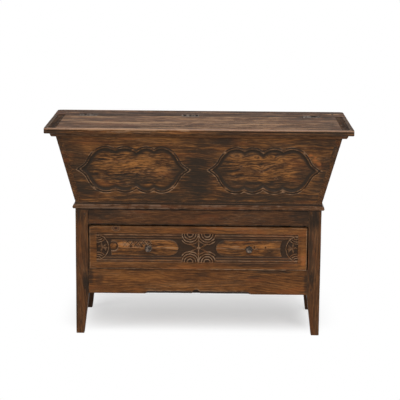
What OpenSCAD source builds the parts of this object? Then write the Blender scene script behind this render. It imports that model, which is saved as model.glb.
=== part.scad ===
// Kneading trough with a hinged lid, on a stand with one drawer.
// X runs to the right, Y to the back and Z up. The origin is on the floor, under the middle.

/* [Stand] */
// Width of the stand over its legs
stand_w = 1065; // [900:5:1200]
// Depth of the stand over its legs
stand_d = 457; // [400:1:520]
// Height of the stand from the floor to the top of its rails
stand_h = 560; // [520:5:620]
// Side of a leg above its taper
leg_w = 57; // [50:1:70]
// Side of a leg at the floor
foot_w = 35; // [28:1:45]
// Worn chamfer round the bottom of a foot
foot_chamfer = 2; // [0.5:0.5:4]
// Height of the top rails
top_rail_h = 71; // [60:1:90]
// Height of the apron and of the other bottom rails
apron_h = 110; // [90:1:130]
// Height of the apron's lower edge above the floor
apron_z = 183; // [150:1:210]
// Thickness of the rails
rail_t = 26; // [22:1:32]
// Step from the face of a leg back to the face of a rail
rail_step = 1.5; // [0.5:0.5:4]
// Thickness of a tenon
tenon_t = 10; // [8:1:12]
// Wood left between a tenon and a panel's groove
tenon_edge = 1; // [0.5:0.5:4]
// Wood left between two tenons that meet in a leg
tenon_wall = 2.5; // [1:0.5:5]
// Thickness of the side and back panels
panel_t = 12; // [8:1:14]
// Depth of the grooves that hold the panels
panel_groove = 8; // [5:1:10]
// Radius of a peg
peg_r = 4; // [3:0.5:5]
// Length of a peg
peg_l = 44; // [36:1:48]
// How far a peg stands proud of the leg
peg_proud = 0.6; // [0.2:0.2:1.4]

/* [Apron edge] */
// Half length of the chamfer along the apron's lower edge
chamfer_half = 232; // [150:1:350]
// Height of that chamfer
chamfer_h = 13; // [5:1:16]
// Radius of the small arch at its middle
arch_r = 17; // [5:1:20]
// How deep the arch is cut
arch_depth = 18; // [4:1:20]
// How far that arch stands left of the middle
arch_shift = 8; // [-20:1:20]

/* [Drawer] */
// Gap on each side of the drawer
drawer_gap = 4; // [2:0.5:6]
// Gap above the drawer front
drawer_top_gap = 5; // [2:0.5:8]
// Gap under the drawer front
drawer_foot_gap = 1.5; // [0.5:0.5:3]
// How far the drawer front stands proud of the legs
drawer_proud = 6; // [0:1:10]
// Thickness of the drawer front
drawer_front_t = 24; // [20:1:30]
// Thickness of the drawer sides
drawer_side_t = 14; // [10:1:16]
// Thickness of the drawer back
drawer_back_t = 14; // [10:1:16]
// Thickness of the drawer bottom
drawer_bottom_t = 10; // [7:1:12]
// Gap between the drawer sides and the kickers
drawer_side_gap = 9; // [6:0.5:24]
// Height of the bottom above the lower edge of the sides
bottom_rise = 11; // [8:1:16]
// Depth of the grooves for the bottom
bottom_groove = 6; // [3:1:8]
// How far the tails run into the drawer front
tail_l = 16; // [12:1:18]
// Number of tails at each corner
tail_count = 3; // [2:1:4]
// Height of a tail at its tip
tail_h = 40; // [28:1:44]
// Flare of a tail on each side
tail_flare = 5; // [2:1:7]
// Width of the strip that each drawer side runs on
bearing_w = 36; // [24:1:50]
// Thickness of the runners and kickers
runner_t = 22; // [16:1:28]
// Height of the guide beside the drawer
guide_h = 30; // [15:1:45]
// Length of a drawer stop
stop_l = 16; // [10:1:24]
// Height of a drawer stop
stop_h = 20; // [12:1:30]
// Running clearance between moving and fixed pieces
run_clear = 0.3; // [0.2:0.1:0.6]

/* [Drawer carving] */
// Plain margin left and right of the carved panel
carve_margin_x = 34.5; // [25:0.5:60]
// Plain margin above and below the carved panel
carve_margin_z = 30.5; // [22:0.5:40]
// How far the carved panel sits left of the drawer's middle
carve_shift = 4; // [0:1:10]
// Depth of the ground of the carved panel
carve_depth = 6; // [4:0.5:8]
// Height of a raised field
field_h = 68; // [50:1:74]
// Depth of the ridge of a raised field under the drawer face
ridge_depth = 0.5; // [0:0.5:2]
// Depth of the long edges of a raised field
field_edge_depth = 4; // [3:0.5:5]
// Half width of the carved block in the middle
rosette_half = 75; // [50:1:90]
// Width of the carved blocks at the ends
end_rosette_w = 68; // [50:1:90]
// Space beside each raised field
field_space = 5; // [2:1:12]
// Radius of the largest arc of a fan
fan_r = 34; // [24:1:36]
// Width of a carved ridge
carve_ridge = 5; // [3:0.5:6]
// Half width of a leaf between the fans
leaf_half = 8; // [4:1:12]

/* [Knobs] */
// Distance of the left knob from the middle
left_knob_x = 216; // [150:1:224]
// Distance of the right knob from the middle
right_knob_x = 221; // [150:1:224]
// How far the knobs sit below the ridge of the raised fields
knob_drop = 3; // [0:1:12]
// Radius of a knob
knob_r = 13; // [9:0.5:16]
// Radius of a knob's neck
knob_neck_r = 5.5; // [4:0.5:8]
// Radius of the body of a rose
rose_r = 13; // [10:0.5:15]
// Radius of each lobe on the edge of a rose
lobe_r = 4; // [2.5:0.5:4]
// Number of lobes on a rose
lobe_count = 8; // [6:1:12]
// Thickness of a rose
rose_t = 2.5; // [1.5:0.5:4]
// Radius of a knob's shank
shank_r = 3; // [2:0.5:4]
// Side of a knob's nut
nut_w = 13; // [9:1:18]
// Thickness of a knob's nut
nut_t = 5; // [3:1:8]
// Distance between the two holes of an old handle
handle_pitch = 47; // [35:1:60]
// How far those holes sit above the middle of the panel
handle_rise = 5.5; // [0:0.5:8]
// Distance of an old handle's centre from the middle
handle_x = 268; // [262:1:300]
// Radius of an old handle hole
handle_hole_r = 2.6; // [1.5:0.1:4]

/* [Trough] */
// Height of the trough from the stand to the lid
trough_h = 334; // [280:2:380]
// Angle that each end leans out
end_splay = 15.4; // [8:0.2:20]
// Angle that the front and back lean out
front_splay = 4; // [1:0.5:12]
// Step from the stand's side in to the trough's foot
foot_inset_x = 8.5; // [4:0.5:14]
// Step from the stand's front in to the trough's foot
foot_inset_y = 2; // [1:0.5:8]
// Thickness of the end boards
end_t = 26; // [20:1:32]
// Thickness of the front and back boards
front_t = 28; // [24:1:34]
// Thickness of the floor
floor_t = 20; // [14:1:26]
// Depth of the tongues on the front and back boards
tongue_d = 10; // [6:1:14]
// Thickness of the tongues
tongue_t = 10; // [6:1:12]
// Number of nails at each corner of the trough
corner_nails = 4; // [2:1:6]
// Radius of the shank of a nail
nail_r = 1.8; // [1:0.1:2.4]
// Radius of the head of a nail
nail_head_r = 5; // [3:0.5:6]
// Length of a trough nail
nail_l = 52; // [40:1:60]

/* [Cartouches] */
// Distance of each cartouche's centre from the middle
cartouche_x = 281; // [262:1:290]
// Half the length of a cartouche
cartouche_half_l = 250; // [200:1:252]
// Half the height of a cartouche
cartouche_half_h = 104; // [70:1:112]
// Depth of the sunk field
sunk_depth = 7; // [4:0.5:9]
// Height of the cartouches' centres above the stand
cartouche_rise = 174; // [160:1:186]

/* [Mouldings] */
// Height of the moulding round the trough's foot
waist_h = 30; // [20:1:40]
// How far that moulding stands out from the stand
waist_out = 11.5; // [6:0.5:18]
// Height of the moulding under the lid
rim_h = 16; // [12:1:22]
// How far that moulding stands out from the trough
rim_out = 21; // [12:1:28]

/* [Lid] */
// How far the lid overhangs the ends of the trough
lid_overhang_x = 44; // [30:1:60]
// How far the lid overhangs the front and back of the trough
lid_overhang_y = 46.5; // [30:0.5:60]
// Thickness of the lid and of the fixed rail behind it
lid_t = 24; // [20:1:30]
// Width of the moulded strips round the lid
lid_moulding_w = 18; // [14:1:24]
// Width of the lid's end cleats
cleat_w = 34; // [26:1:60]
// Step from the planks down to the cleats
cleat_drop = 2; // [0:0.5:4]
// Length of the planks' tongues in the cleats
cleat_tongue = 14; // [8:1:20]
// Thickness of the lid's tongues
lid_tongue_t = 8; // [5:1:10]
// Depth of the fixed rail behind the lid
back_rail_d = 166; // [100:1:200]
// Depth of the lid's front plank
front_plank_d = 212; // [150:1:250]
// Gap between the lid and the fixed rail
lid_gap = 1; // [0.6:0.2:2]
// Radius of the rail's back corners
rail_corner_r = 22; // [4:1:24]

/* [Hinges] */
// Places of the hinges along the lid
hinge_x = [-503, -43, 503];
// Width of a hinge
leaf_w = 78; // [50:1:100]
// Depth of a leaf from its pin
leaf_d = 36; // [24:1:50]
// Thickness of a leaf
leaf_t = 2.5; // [1.5:0.5:4]
// Radius of a knuckle
knuckle_r = 5; // [4:0.5:6]
// Radius of a hinge pin
pin_r = 2.5; // [1.5:0.1:3]
// Radial clearance of a pin in its knuckles
pin_clear = 0.05; // [0.02:0.01:0.1]
// Length of a hinge nail
hinge_nail_l = 19; // [12:1:19]

/* [Hidden] */
$fn = 48;
eps = 0.01;
fit_clear = 0.05;

walnut = "#5b3a24";
walnut_light = "#6f4629";
walnut_dark = "#3f2a1c";
inner_wood = "#7a5a3a";
iron = "#4a4642";

// Stand, worked out from its sizes
tenon_shoulder = panel_groove + tenon_edge;
tenon_l = leg_w - rail_step - (rail_t + tenon_t) / 2 - tenon_wall;
opening_half = stand_w / 2 - leg_w;
bay_half = stand_d / 2 - leg_w;
top_rail_z = stand_h - top_rail_h;
apron_top = apron_z + apron_h;
rail_face_x = stand_w / 2 - rail_step;
rail_face_y = stand_d / 2 - rail_step;
peg_in = leg_w - tenon_l / 2;
peg_stagger = 12;
peg_spread_front = 32;
peg_spread_side = 16;
top_peg_z = stand_h - top_rail_h / 2;
apron_peg_z = apron_z + apron_h / 2;
front_peg_z = [top_peg_z + peg_stagger, apron_peg_z - peg_spread_front, apron_peg_z + peg_spread_front];
side_peg_z = [top_peg_z - peg_stagger, apron_peg_z - peg_spread_side, apron_peg_z + peg_spread_side];

// Drawer, worked out from the opening
drawer_half = opening_half - drawer_gap;
drawer_face_y = -stand_d / 2 - drawer_proud;
front_back_y = drawer_face_y + drawer_front_t;
front_z0 = apron_top + drawer_foot_gap;
front_z1 = top_rail_z - drawer_top_gap;
side_z0 = apron_top + run_clear;
drawer_side_h = top_rail_z - drawer_side_gap - side_z0;
stop_y = rail_face_y - rail_t - stop_l;
drawer_end_y = stop_y - run_clear;
back_z0 = side_z0 + bottom_rise + drawer_bottom_t;
back_z1 = side_z0 + drawer_side_h - 8;
tail_pitch = drawer_side_h / tail_count;
carve_half_w = drawer_half - carve_margin_x;
carve_z0 = front_z0 + carve_margin_z;
carve_z1 = front_z1 - carve_margin_z;
carve_mid_z = (carve_z0 + carve_z1) / 2;
field_x0 = rosette_half + field_space;
field_x1 = carve_half_w - end_rosette_w - field_space;
knob_z = carve_mid_z - knob_drop;
rose_seat = drawer_face_y + ridge_depth + 1;

// Trough and lid, worked out from the stand
floor_top = stand_h + floor_t;
rim_top = stand_h + trough_h;
lid_top = rim_top + lid_t;
lid_under = rim_top + run_clear;
function trough_x(z) = stand_w / 2 - foot_inset_x + (z - stand_h) * tan(end_splay);
function trough_y(z) = stand_d / 2 - foot_inset_y + (z - stand_h) * tan(front_splay);
lid_half_w = trough_x(rim_top) + lid_overhang_x;
lid_half_d = trough_y(rim_top) + lid_overhang_y;
hinge_y = lid_half_d - back_rail_d;
plank_half_w = lid_half_w - lid_moulding_w - cleat_w;
plank_front_y = -lid_half_d + lid_moulding_w;
plank_back_y = hinge_y - lid_gap / 2;
plank_joint_y = plank_front_y + front_plank_d;

// General helpers

// Points of an arc round (cx, cy)
function arc(cx, cy, r, a0, a1, n = 8) =
  [for (i = [0:n]) [cx + r * cos(a0 + (a1 - a0) * i / n), cy + r * sin(a0 + (a1 - a0) * i / n)]];

// A curve pulled towards the point b
function bow(a, b, c, n) =
  [for (i = [0:n - 1]) let (t = i / n) (1 - t) * (1 - t) * a + 2 * t * (1 - t) * b + t * t * c];

module box(lo, hi) {
  translate(lo) cube(hi - lo);
}

// A block whose rectangle changes from z0 to z1
module skew_box(z0, z1, lo0, hi0, lo1, hi1) {
  polyhedron(
    points = [
      [lo0.x, lo0.y, z0], [hi0.x, lo0.y, z0], [hi0.x, hi0.y, z0], [lo0.x, hi0.y, z0],
      [lo1.x, lo1.y, z1], [hi1.x, lo1.y, z1], [hi1.x, hi1.y, z1], [lo1.x, hi1.y, z1]
    ],
    faces = [[0, 1, 2, 3], [4, 7, 6, 5], [0, 4, 5, 1], [1, 5, 6, 2], [2, 6, 7, 3], [3, 7, 4, 0]]
  );
}

// A solid through rings of points, each ring [points, height], from the lowest to the highest
module ring_loft(rings) {
  n = len(rings[0][0]);
  points = [for (r = rings) for (p = r[0]) [p.x, p.y, r[1]]];
  sides = [
    for (k = [0:len(rings) - 2]) for (i = [0:n - 1])
      let (a = k * n + i, b = k * n + (i + 1) % n) [a, a + n, b + n, b]
  ];
  last = (len(rings) - 1) * n;
  polyhedron(points, concat([[for (i = [0:n - 1]) i]], sides, [[for (i = [n - 1:-1:0]) last + i]]));
}

// A profile drawn in Y and Z, run along X
module run_x(points, x0, x1) {
  translate([x0, 0, 0]) rotate([90, 0, 90]) linear_extrude(x1 - x0) polygon(points);
}

// A profile drawn in X and Z, run along Y
module run_y(points, y0, y1) {
  translate([0, y1, 0]) rotate([90, 0, 0]) linear_extrude(y1 - y0) polygon(points);
}

module flip_x() {
  mirror([1, 0, 0]) children();
}

module flip_y() {
  mirror([0, 1, 0]) children();
}

// Stand

// A leg with its outer corner at the origin, growing inwards along X and Y
module leg_profile() {
  polygon([
    [foot_chamfer, 0], [foot_w - foot_chamfer, 0], [foot_w, foot_chamfer],
    [leg_w, apron_z], [leg_w, stand_h], [0, stand_h], [0, foot_chamfer]
  ]);
}

module leg_blank() {
  intersection() {
    translate([0, leg_w, 0]) rotate([90, 0, 0]) linear_extrude(leg_w) leg_profile();
    rotate([90, 0, 90]) linear_extrude(leg_w) leg_profile();
  }
}

// Mortises for the two rails that enter through the leg's inner X face
module rail_mortises() {
  y0 = rail_step + (rail_t - tenon_t) / 2;
  for (span = [[apron_z, apron_top], [top_rail_z, stand_h]])
    box([leg_w - tenon_l, y0, span[0] + tenon_shoulder],
        [leg_w + eps, y0 + tenon_t, span[1] - tenon_shoulder]);
}

module panel_slot() {
  y0 = rail_step + (rail_t - panel_t) / 2;
  box([leg_w - panel_groove, y0, apron_top - panel_groove],
      [leg_w + eps, y0 + panel_t, top_rail_z + panel_groove]);
}

// The same cut seen from the leg's other inner face
module swap_xy() {
  multmatrix([[0, 1, 0, 0], [1, 0, 0, 0], [0, 0, 1, 0], [0, 0, 0, 1]]) children();
}

module leg_pegs(r, proud) {
  for (z = front_peg_z)
    translate([peg_in, -proud, z]) rotate([-90, 0, 0]) cylinder(h = peg_l + proud, r = r);
  for (z = side_peg_z)
    translate([-proud, peg_in, z]) rotate([0, 90, 0]) cylinder(h = peg_l + proud, r = r);
}

module leg(has_back_panel) {
  color(walnut_light) difference() {
    leg_blank();
    rail_mortises();
    swap_xy() rail_mortises();
    swap_xy() panel_slot();
    if (has_back_panel) panel_slot();
    leg_pegs(peg_r, 1);
  }
}

module to_corner() {
  translate([-stand_w / 2, -stand_d / 2, 0]) children();
}

module at_corners() {
  for (sx = [0, 1], sy = [0, 1])
    mirror([sx, 0, 0]) mirror([0, sy, 0]) to_corner() children();
}

module front_left_leg() {
  to_corner() leg(false);
}

module front_right_leg() {
  flip_x() to_corner() leg(false);
}

module back_left_leg() {
  flip_y() to_corner() leg(true);
}

module back_right_leg() {
  flip_y() flip_x() to_corner() leg(true);
}

// A rail of the given span with its tenons, its face at y = 0 and its foot at z = 0
module rail_blank(span, h) {
  box([-span / 2, 0, 0], [span / 2, rail_t, h]);
  box([-span / 2 - tenon_l, (rail_t - tenon_t) / 2, tenon_shoulder],
      [span / 2 + tenon_l, (rail_t + tenon_t) / 2, h - tenon_shoulder]);
}

// The groove that a panel needs in a rail, along its top (edge = h) or foot (edge = 0)
module rail_groove(span, edge) {
  box([-span / 2 - eps, (rail_t - panel_t) / 2, edge - panel_groove],
      [span / 2 + eps, (rail_t + panel_t) / 2, edge + panel_groove]);
}

module peg_holes() {
  at_corners() leg_pegs(peg_r, 1);
}

module front_top_rail() {
  color(walnut) difference() {
    translate([0, -rail_face_y, top_rail_z]) rail_blank(2 * opening_half, top_rail_h);
    peg_holes();
  }
}

// The shaped chamfer along the apron's lower edge, with a small arch at its middle
module apron_shaping() {
  reach = chamfer_h + 1;
  intersection() {
    run_x([[-1, -1], [reach, -1], [-1, reach]], -chamfer_half, chamfer_half);
    run_y([
      [-chamfer_half, -1], [chamfer_half, -1],
      [chamfer_half - reach, reach], [reach - chamfer_half, reach]
    ], -1, reach);
  }
  translate([-arch_shift, -1, 0]) rotate([-90, 0, 0]) cylinder(h = arch_depth + 1, r = arch_r);
}

module front_apron() {
  color(walnut_light) difference() {
    translate([0, -rail_face_y, apron_z]) rail_blank(2 * opening_half, apron_h);
    peg_holes();
    translate([0, -rail_face_y, apron_z]) apron_shaping();
  }
}

module back_top_rail() {
  color(walnut_dark) difference() {
    flip_y() translate([0, -rail_face_y, top_rail_z]) difference() {
      rail_blank(2 * opening_half, top_rail_h);
      rail_groove(2 * opening_half, 0);
    }
    peg_holes();
  }
}

module back_bottom_rail() {
  color(walnut_dark) difference() {
    flip_y() translate([0, -rail_face_y, apron_z]) difference() {
      rail_blank(2 * opening_half, apron_h);
      rail_groove(2 * opening_half, apron_h);
    }
    peg_holes();
  }
}

module back_panel() {
  reach = panel_groove - fit_clear;
  y1 = rail_face_y - (rail_t - panel_t) / 2;
  color(inner_wood)
    box([-opening_half - reach, y1 - panel_t + fit_clear, apron_top - reach],
        [opening_half + reach, y1 - fit_clear, top_rail_z + reach]);
}

// Stands a rail or panel drawn along X on the left side, its face outwards
module on_left() {
  translate([-rail_face_x, 0, 0]) rotate([0, 0, -90]) children();
}

module left_top_rail() {
  color(walnut) difference() {
    on_left() translate([0, 0, top_rail_z]) difference() {
      rail_blank(2 * bay_half, top_rail_h);
      rail_groove(2 * bay_half, 0);
    }
    peg_holes();
  }
}

module left_bottom_rail() {
  color(walnut) difference() {
    on_left() translate([0, 0, apron_z]) difference() {
      rail_blank(2 * bay_half, apron_h);
      rail_groove(2 * bay_half, apron_h);
    }
    peg_holes();
  }
}

module left_panel() {
  reach = panel_groove - fit_clear;
  y0 = (rail_t - panel_t) / 2;
  color(walnut_dark) on_left()
    box([-bay_half - reach, y0 + fit_clear, apron_top - reach],
        [bay_half + reach, y0 + panel_t - fit_clear, top_rail_z + reach]);
}

module right_top_rail() {
  flip_x() left_top_rail();
}

module right_bottom_rail() {
  flip_x() left_bottom_rail();
}

module right_panel() {
  flip_x() left_panel();
}

// A strip along one side, between the front and back rails, notched round the legs
module side_strip(z0, z1) {
  rail_in_x = rail_face_x - rail_t;
  rail_in_y = rail_face_y - rail_t;
  box([-rail_in_x, -bay_half, z0], [-opening_half + bearing_w, bay_half, z1]);
  box([-opening_half, -rail_in_y, z0], [-opening_half + bearing_w, rail_in_y, z1]);
}

module left_drawer_runner() {
  color(inner_wood) union() {
    side_strip(apron_top - runner_t, apron_top);
    box([-rail_face_x + rail_t, -bay_half, apron_top - eps],
        [-opening_half, bay_half, apron_top + guide_h]);
  }
}

module right_drawer_runner() {
  flip_x() left_drawer_runner();
}

module drawer_kickers() {
  color(inner_wood) for (s = [0, 1])
    mirror([s, 0, 0]) side_strip(top_rail_z, top_rail_z + runner_t);
}

module drawer_stops() {
  color(inner_wood) for (s = [0, 1])
    mirror([s, 0, 0])
      box([-opening_half + drawer_gap, stop_y, apron_top],
          [-opening_half + bearing_w, stop_y + stop_l, apron_top + stop_h]);
}

module joint_pegs() {
  color(walnut_dark) at_corners() {
    intersection() {
      leg_pegs(peg_r - fit_clear, peg_proud);
      box([-peg_proud, -peg_proud, 0], [peg_l, peg_l, stand_h]);
    }
  }
}

// Mouldings round the trough

// Plan of a moulding's front run, mitred at the corner (cx, cy)
module front_run_plan(cx, cy, reach) {
  polygon([
    [-cx - reach, -cy - reach], [cx + reach, -cy - reach],
    [cx - reach, -cy + reach], [-cx + reach, -cy + reach]
  ]);
}

module left_run_plan(cx, cy, reach, back_y) {
  polygon([
    [-cx - reach, -cy - reach], [-cx + reach, -cy + reach],
    [-cx + reach, back_y], [-cx - reach, back_y]
  ]);
}

// Outline of the waist moulding: a round nose, a fillet and a hollow, in distance out and height
function waist_curve() = concat(
  arc(waist_out - waist_h * 0.27, waist_h * 0.27, waist_h * 0.27, -90, 70, 8),
  [[waist_out - waist_h * 0.27, waist_h * 0.56], [waist_out - waist_h * 0.32, waist_h * 0.6]],
  bow([waist_out - waist_h * 0.32, waist_h * 0.6], [1.2, waist_h * 0.64], [1.2, waist_h], 6),
  [[1.2, waist_h]]
);

module waist_moulding_front() {
  face = stand_d / 2;
  color(walnut) intersection() {
    run_x(concat(
      [[-trough_y(stand_h), stand_h]],
      [for (p = waist_curve()) [-face - p.x, stand_h + p.y]],
      [[-trough_y(stand_h + waist_h), stand_h + waist_h]]
    ), -stand_w, stand_w);
    translate([0, 0, stand_h - 1]) linear_extrude(waist_h + 2)
      front_run_plan(stand_w / 2, face, 40);
  }
}

module waist_moulding_left() {
  face = stand_w / 2;
  color(walnut) intersection() {
    run_y(concat(
      [[-trough_x(stand_h), stand_h]],
      [for (p = waist_curve()) [-face - p.x, stand_h + p.y]],
      [[-trough_x(stand_h + waist_h), stand_h + waist_h]]
    ), -stand_d, stand_d);
    translate([0, 0, stand_h - 1]) linear_extrude(waist_h + 2)
      left_run_plan(face, stand_d / 2, 40, stand_d / 2);
  }
}

module waist_moulding_right() {
  flip_x() waist_moulding_left();
}

// Outline of the rim moulding, a quarter round under a flat lip
function rim_curve() = concat(
  [[1.5, 0]],
  arc(1.5, rim_h - 3, rim_out - 3.5, -75, 0, 8),
  [[rim_out, rim_h - 3], [rim_out, rim_h]]
);

module rim_moulding_front() {
  z0 = rim_top - rim_h;
  color(walnut_dark) intersection() {
    run_x(concat(
      [[-trough_y(z0), z0]],
      [for (p = rim_curve()) [-trough_y(z0 + p.y) - p.x, z0 + max(0, p.y)]],
      [[-trough_y(rim_top), rim_top]]
    ), -stand_w, stand_w);
    translate([0, 0, z0 - 1]) linear_extrude(rim_h + 2)
      front_run_plan(trough_x(rim_top), trough_y(rim_top), 40);
  }
}

module rim_moulding_left() {
  z0 = rim_top - rim_h;
  color(walnut_dark) intersection() {
    run_y(concat(
      [[-trough_x(z0), z0]],
      [for (p = rim_curve()) [-trough_x(z0 + p.y) - p.x, z0 + max(0, p.y)]],
      [[-trough_x(rim_top), rim_top]]
    ), -stand_d, stand_d);
    translate([0, 0, z0 - 1]) linear_extrude(rim_h + 2)
      left_run_plan(trough_x(rim_top), trough_y(rim_top), 40, trough_y(rim_top));
  }
}

module rim_moulding_right() {
  flip_x() rim_moulding_left();
}

// Trough

tongue_in = (front_t - tongue_t) / 2;

// A board across the front, between two distances in from the outer face, reaching x_in from the ends
module front_slab(z0, z1, in0, in1, x_in) {
  skew_box(z0, z1,
    [-trough_x(z0) + x_in, -trough_y(z0) + in0], [trough_x(z0) - x_in, -trough_y(z0) + in1],
    [-trough_x(z1) + x_in, -trough_y(z1) + in0], [trough_x(z1) - x_in, -trough_y(z1) + in1]);
}

module front_tongue() {
  front_slab(floor_top, rim_top, tongue_in, tongue_in + tongue_t, end_t - tongue_d);
}

// One quarter of a cartouche: three-point curves as [x, y, inward x, inward y]
cartouche_curves = [
  [[0, 88, 0, 1.24], [40, 117, -0.09, 1.17], [83, 95, 0, 1.13]],
  [[83, 95, 0, 1.13], [127, 118, 0.1, 1.18], [170, 86, 0.65, 0.76]],
  [[170, 86, 0.65, 0.76], [190, 67, 0.83, 0.59], [203, 38, 0.9, 0.44]],
  [[203, 38, 0.9, 0.44], [212, 20, 0.75, 0.74], [250, 0, 2.14, 0]]
];

// A quarter outline, moved in from the edge by inset
function quarter(inset) = [
  for (c = cartouche_curves)
    let (q = [for (p = c) [
      p[0] * cartouche_half_l / 250 - inset * p[2],
      p[1] * cartouche_half_h / 104 - inset * p[3]
    ]])
    each bow(q[0], q[1], q[2], 6)
];

// The whole outline, anticlockwise from the right-hand tip
function cartouche(inset) =
  let (
    q = quarter(inset),
    n = len(q),
    tip = cartouche_half_l - 2.14 * inset
  )
  concat(
    [[tip, 0]],
    [for (i = [n - 1:-1:0]) q[i]],
    [for (i = [1:n - 1]) [-q[i].x, q[i].y]],
    [[-tip, 0]],
    [for (i = [n - 1:-1:0]) [-q[i].x, -q[i].y]],
    [for (i = [1:n - 1]) [q[i].x, -q[i].y]]
  );

// The moulded edge of a sunk panel: [distance in, height]
edge_steps = [[-0.6, 1], [2, -2.6], [5.5, -0.9], [9, -0.9]];

module cartouche_cut() {
  ring_loft(concat(
    [[cartouche(18), -sunk_depth]],
    [for (i = [3:-1:0]) [cartouche(edge_steps[i][0]), edge_steps[i][1]]]
  ));
}

// Places what is drawn flat, with +Z outwards, on the outer face of the trough's front
module on_front_face(x, rise) {
  translate([x, -trough_y(stand_h + rise), stand_h + rise]) rotate([90 + front_splay, 0, 0]) children();
}

// Nails through the left end into the front board, square to the end
module corner_nail_places() {
  for (i = [0:corner_nails - 1]) {
    z = floor_top + 35 + i * (rim_top - rim_h - floor_top - 70) / (corner_nails - 1);
    translate([-trough_x(z), -trough_y(z) + front_t / 2, z]) rotate([0, 90 - end_splay, 0]) children();
  }
}

module all_corner_nails() {
  for (sx = [0, 1], sy = [0, 1])
    mirror([sx, 0, 0]) mirror([0, sy, 0]) corner_nail_places() children();
}

module nail(l, proud) {
  translate([0, 0, -eps]) cylinder(h = l, r = nail_r - fit_clear);
  rotate_extrude() polygon([
    [0, 0], [nail_head_r, 0], [nail_head_r * 0.9, -proud * 0.6], [nail_head_r * 0.4, -proud], [0, -proud]
  ]);
}

module nail_bore(l) {
  translate([0, 0, -eps]) cylinder(h = l + 1, r = nail_r);
}

module trough_front_board() {
  color(walnut) difference() {
    union() {
      front_slab(floor_top, rim_top, 0, front_t, end_t);
      front_tongue();
    }
    for (s = [-1, 1]) on_front_face(s * cartouche_x, cartouche_rise) cartouche_cut();
    all_corner_nails() nail_bore(nail_l);
    floor_nail_places() floor_nail(fit_clear);
  }
}

module trough_back_board() {
  color(walnut_dark) difference() {
    flip_y() union() {
      front_slab(floor_top, rim_top, 0, front_t, end_t);
      front_tongue();
    }
    all_corner_nails() nail_bore(nail_l);
    floor_nail_places() floor_nail(fit_clear);
    rail_nail_places() nail_bore(nail_l);
  }
}

module trough_left_end() {
  color(walnut) difference() {
    skew_box(floor_top, rim_top,
      [-trough_x(floor_top), -trough_y(floor_top)], [-trough_x(floor_top) + end_t, trough_y(floor_top)],
      [-trough_x(rim_top), -trough_y(rim_top)], [-trough_x(rim_top) + end_t, trough_y(rim_top)]);
    front_tongue();
    flip_y() front_tongue();
    all_corner_nails() nail_bore(nail_l);
    floor_nail_places() floor_nail(fit_clear);
    rail_nail_places() nail_bore(nail_l);
  }
}

module trough_right_end() {
  flip_x() trough_left_end();
}

module trough_nails() {
  color(iron) all_corner_nails() nail(nail_l, 2.2);
}

// Nails up through the floor, their heads sunk flush
module floor_nail_places() {
  for (s = [-1, 1], x = [-0.75, -0.25, 0.25, 0.75])
    translate([x * trough_x(stand_h), s * (trough_y(floor_top) - front_t / 2), stand_h]) children();
  for (s = [-1, 1], y = [-0.5, 0.5])
    translate([s * (trough_x(floor_top) - end_t / 2), y * trough_y(stand_h), stand_h]) children();
}

module floor_nail(gap) {
  translate([0, 0, -gap]) cylinder(h = nail_l - 8 + 2 * gap, r = nail_r - fit_clear + gap);
  translate([0, 0, -gap]) cylinder(h = 2 + gap, r = nail_head_r - fit_clear + gap);
}

module floor_nails() {
  color(iron) floor_nail_places() floor_nail(0);
}

floor_joint_y = 20;
floor_tongue = 7;

// Half of the floor, from the outer face to the joint
module floor_slab(y0) {
  skew_box(stand_h, floor_top,
    [-trough_x(stand_h), -trough_y(stand_h)], [trough_x(stand_h), y0],
    [-trough_x(floor_top), -trough_y(floor_top)], [trough_x(floor_top), y0]);
}

module floor_tongue_strip(side) {
  tongue_x = trough_x(stand_h) - side;
  box([-tongue_x, floor_joint_y - 1, stand_h + floor_t / 3],
      [tongue_x, floor_joint_y + floor_tongue, stand_h + floor_t * 2 / 3]);
}

module trough_floor_front() {
  color(inner_wood) difference() {
    union() {
      floor_slab(floor_joint_y);
      floor_tongue_strip(12);
    }
    floor_nail_places() floor_nail(fit_clear);
  }
}

module trough_floor_back() {
  color(inner_wood) difference() {
    flip_y() floor_slab(-floor_joint_y);
    floor_tongue_strip(12);
    floor_nail_places() floor_nail(fit_clear);
  }
}

// Lid and its fixed rail

// Half-round channel and flat recess for one hinge, the pin along X at the origin
module hinge_seat(dir) {
  rotate([0, 90, 0]) cylinder(h = leaf_w + 4, r = knuckle_r + 0.5, center = true);
  box([-leaf_w / 2 - fit_clear, min(0, dir * (leaf_d + fit_clear)), -leaf_t],
      [leaf_w / 2 + fit_clear, max(0, dir * (leaf_d + fit_clear)), 1]);
}

module at_hinges() {
  for (x = hinge_x) translate([x, hinge_y, lid_top]) children();
}

// Three nails in each leaf
module leaf_nail_places(dir) {
  for (p = [[-leaf_w * 0.36, 0.68], [0, 0.8], [leaf_w * 0.36, 0.68]])
    translate([p.x, dir * leaf_d * p.y, 0]) rotate([180, 0, 0]) children();
}

module hinge_nail_bore() {
  cylinder(h = hinge_nail_l + 0.5, r = nail_r);
  translate([0, 0, -1]) cylinder(h = 1 + leaf_t, r = nail_r);
}

// A leaf whose plate lies towards dir, with knuckles at the given spans of X
module leaf(dir, spans) {
  difference() {
    union() {
      box([-leaf_w / 2, min(dir * (knuckle_r + 0.6), dir * leaf_d), -leaf_t],
          [leaf_w / 2, max(dir * (knuckle_r + 0.6), dir * leaf_d), 0]);
      for (s = spans) {
        box([s[0], min(0, dir * (knuckle_r + 1)), -leaf_t], [s[1], max(0, dir * (knuckle_r + 1)), 0]);
        translate([s[0], 0, 0]) rotate([0, 90, 0]) cylinder(h = s[1] - s[0], r = knuckle_r);
      }
    }
    translate([-leaf_w, 0, 0]) rotate([0, 90, 0]) cylinder(h = 2 * leaf_w, r = pin_r + pin_clear);
    leaf_nail_places(dir) translate([0, 0, -1]) cylinder(h = leaf_t + 2, r = nail_r);
  }
}

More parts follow.
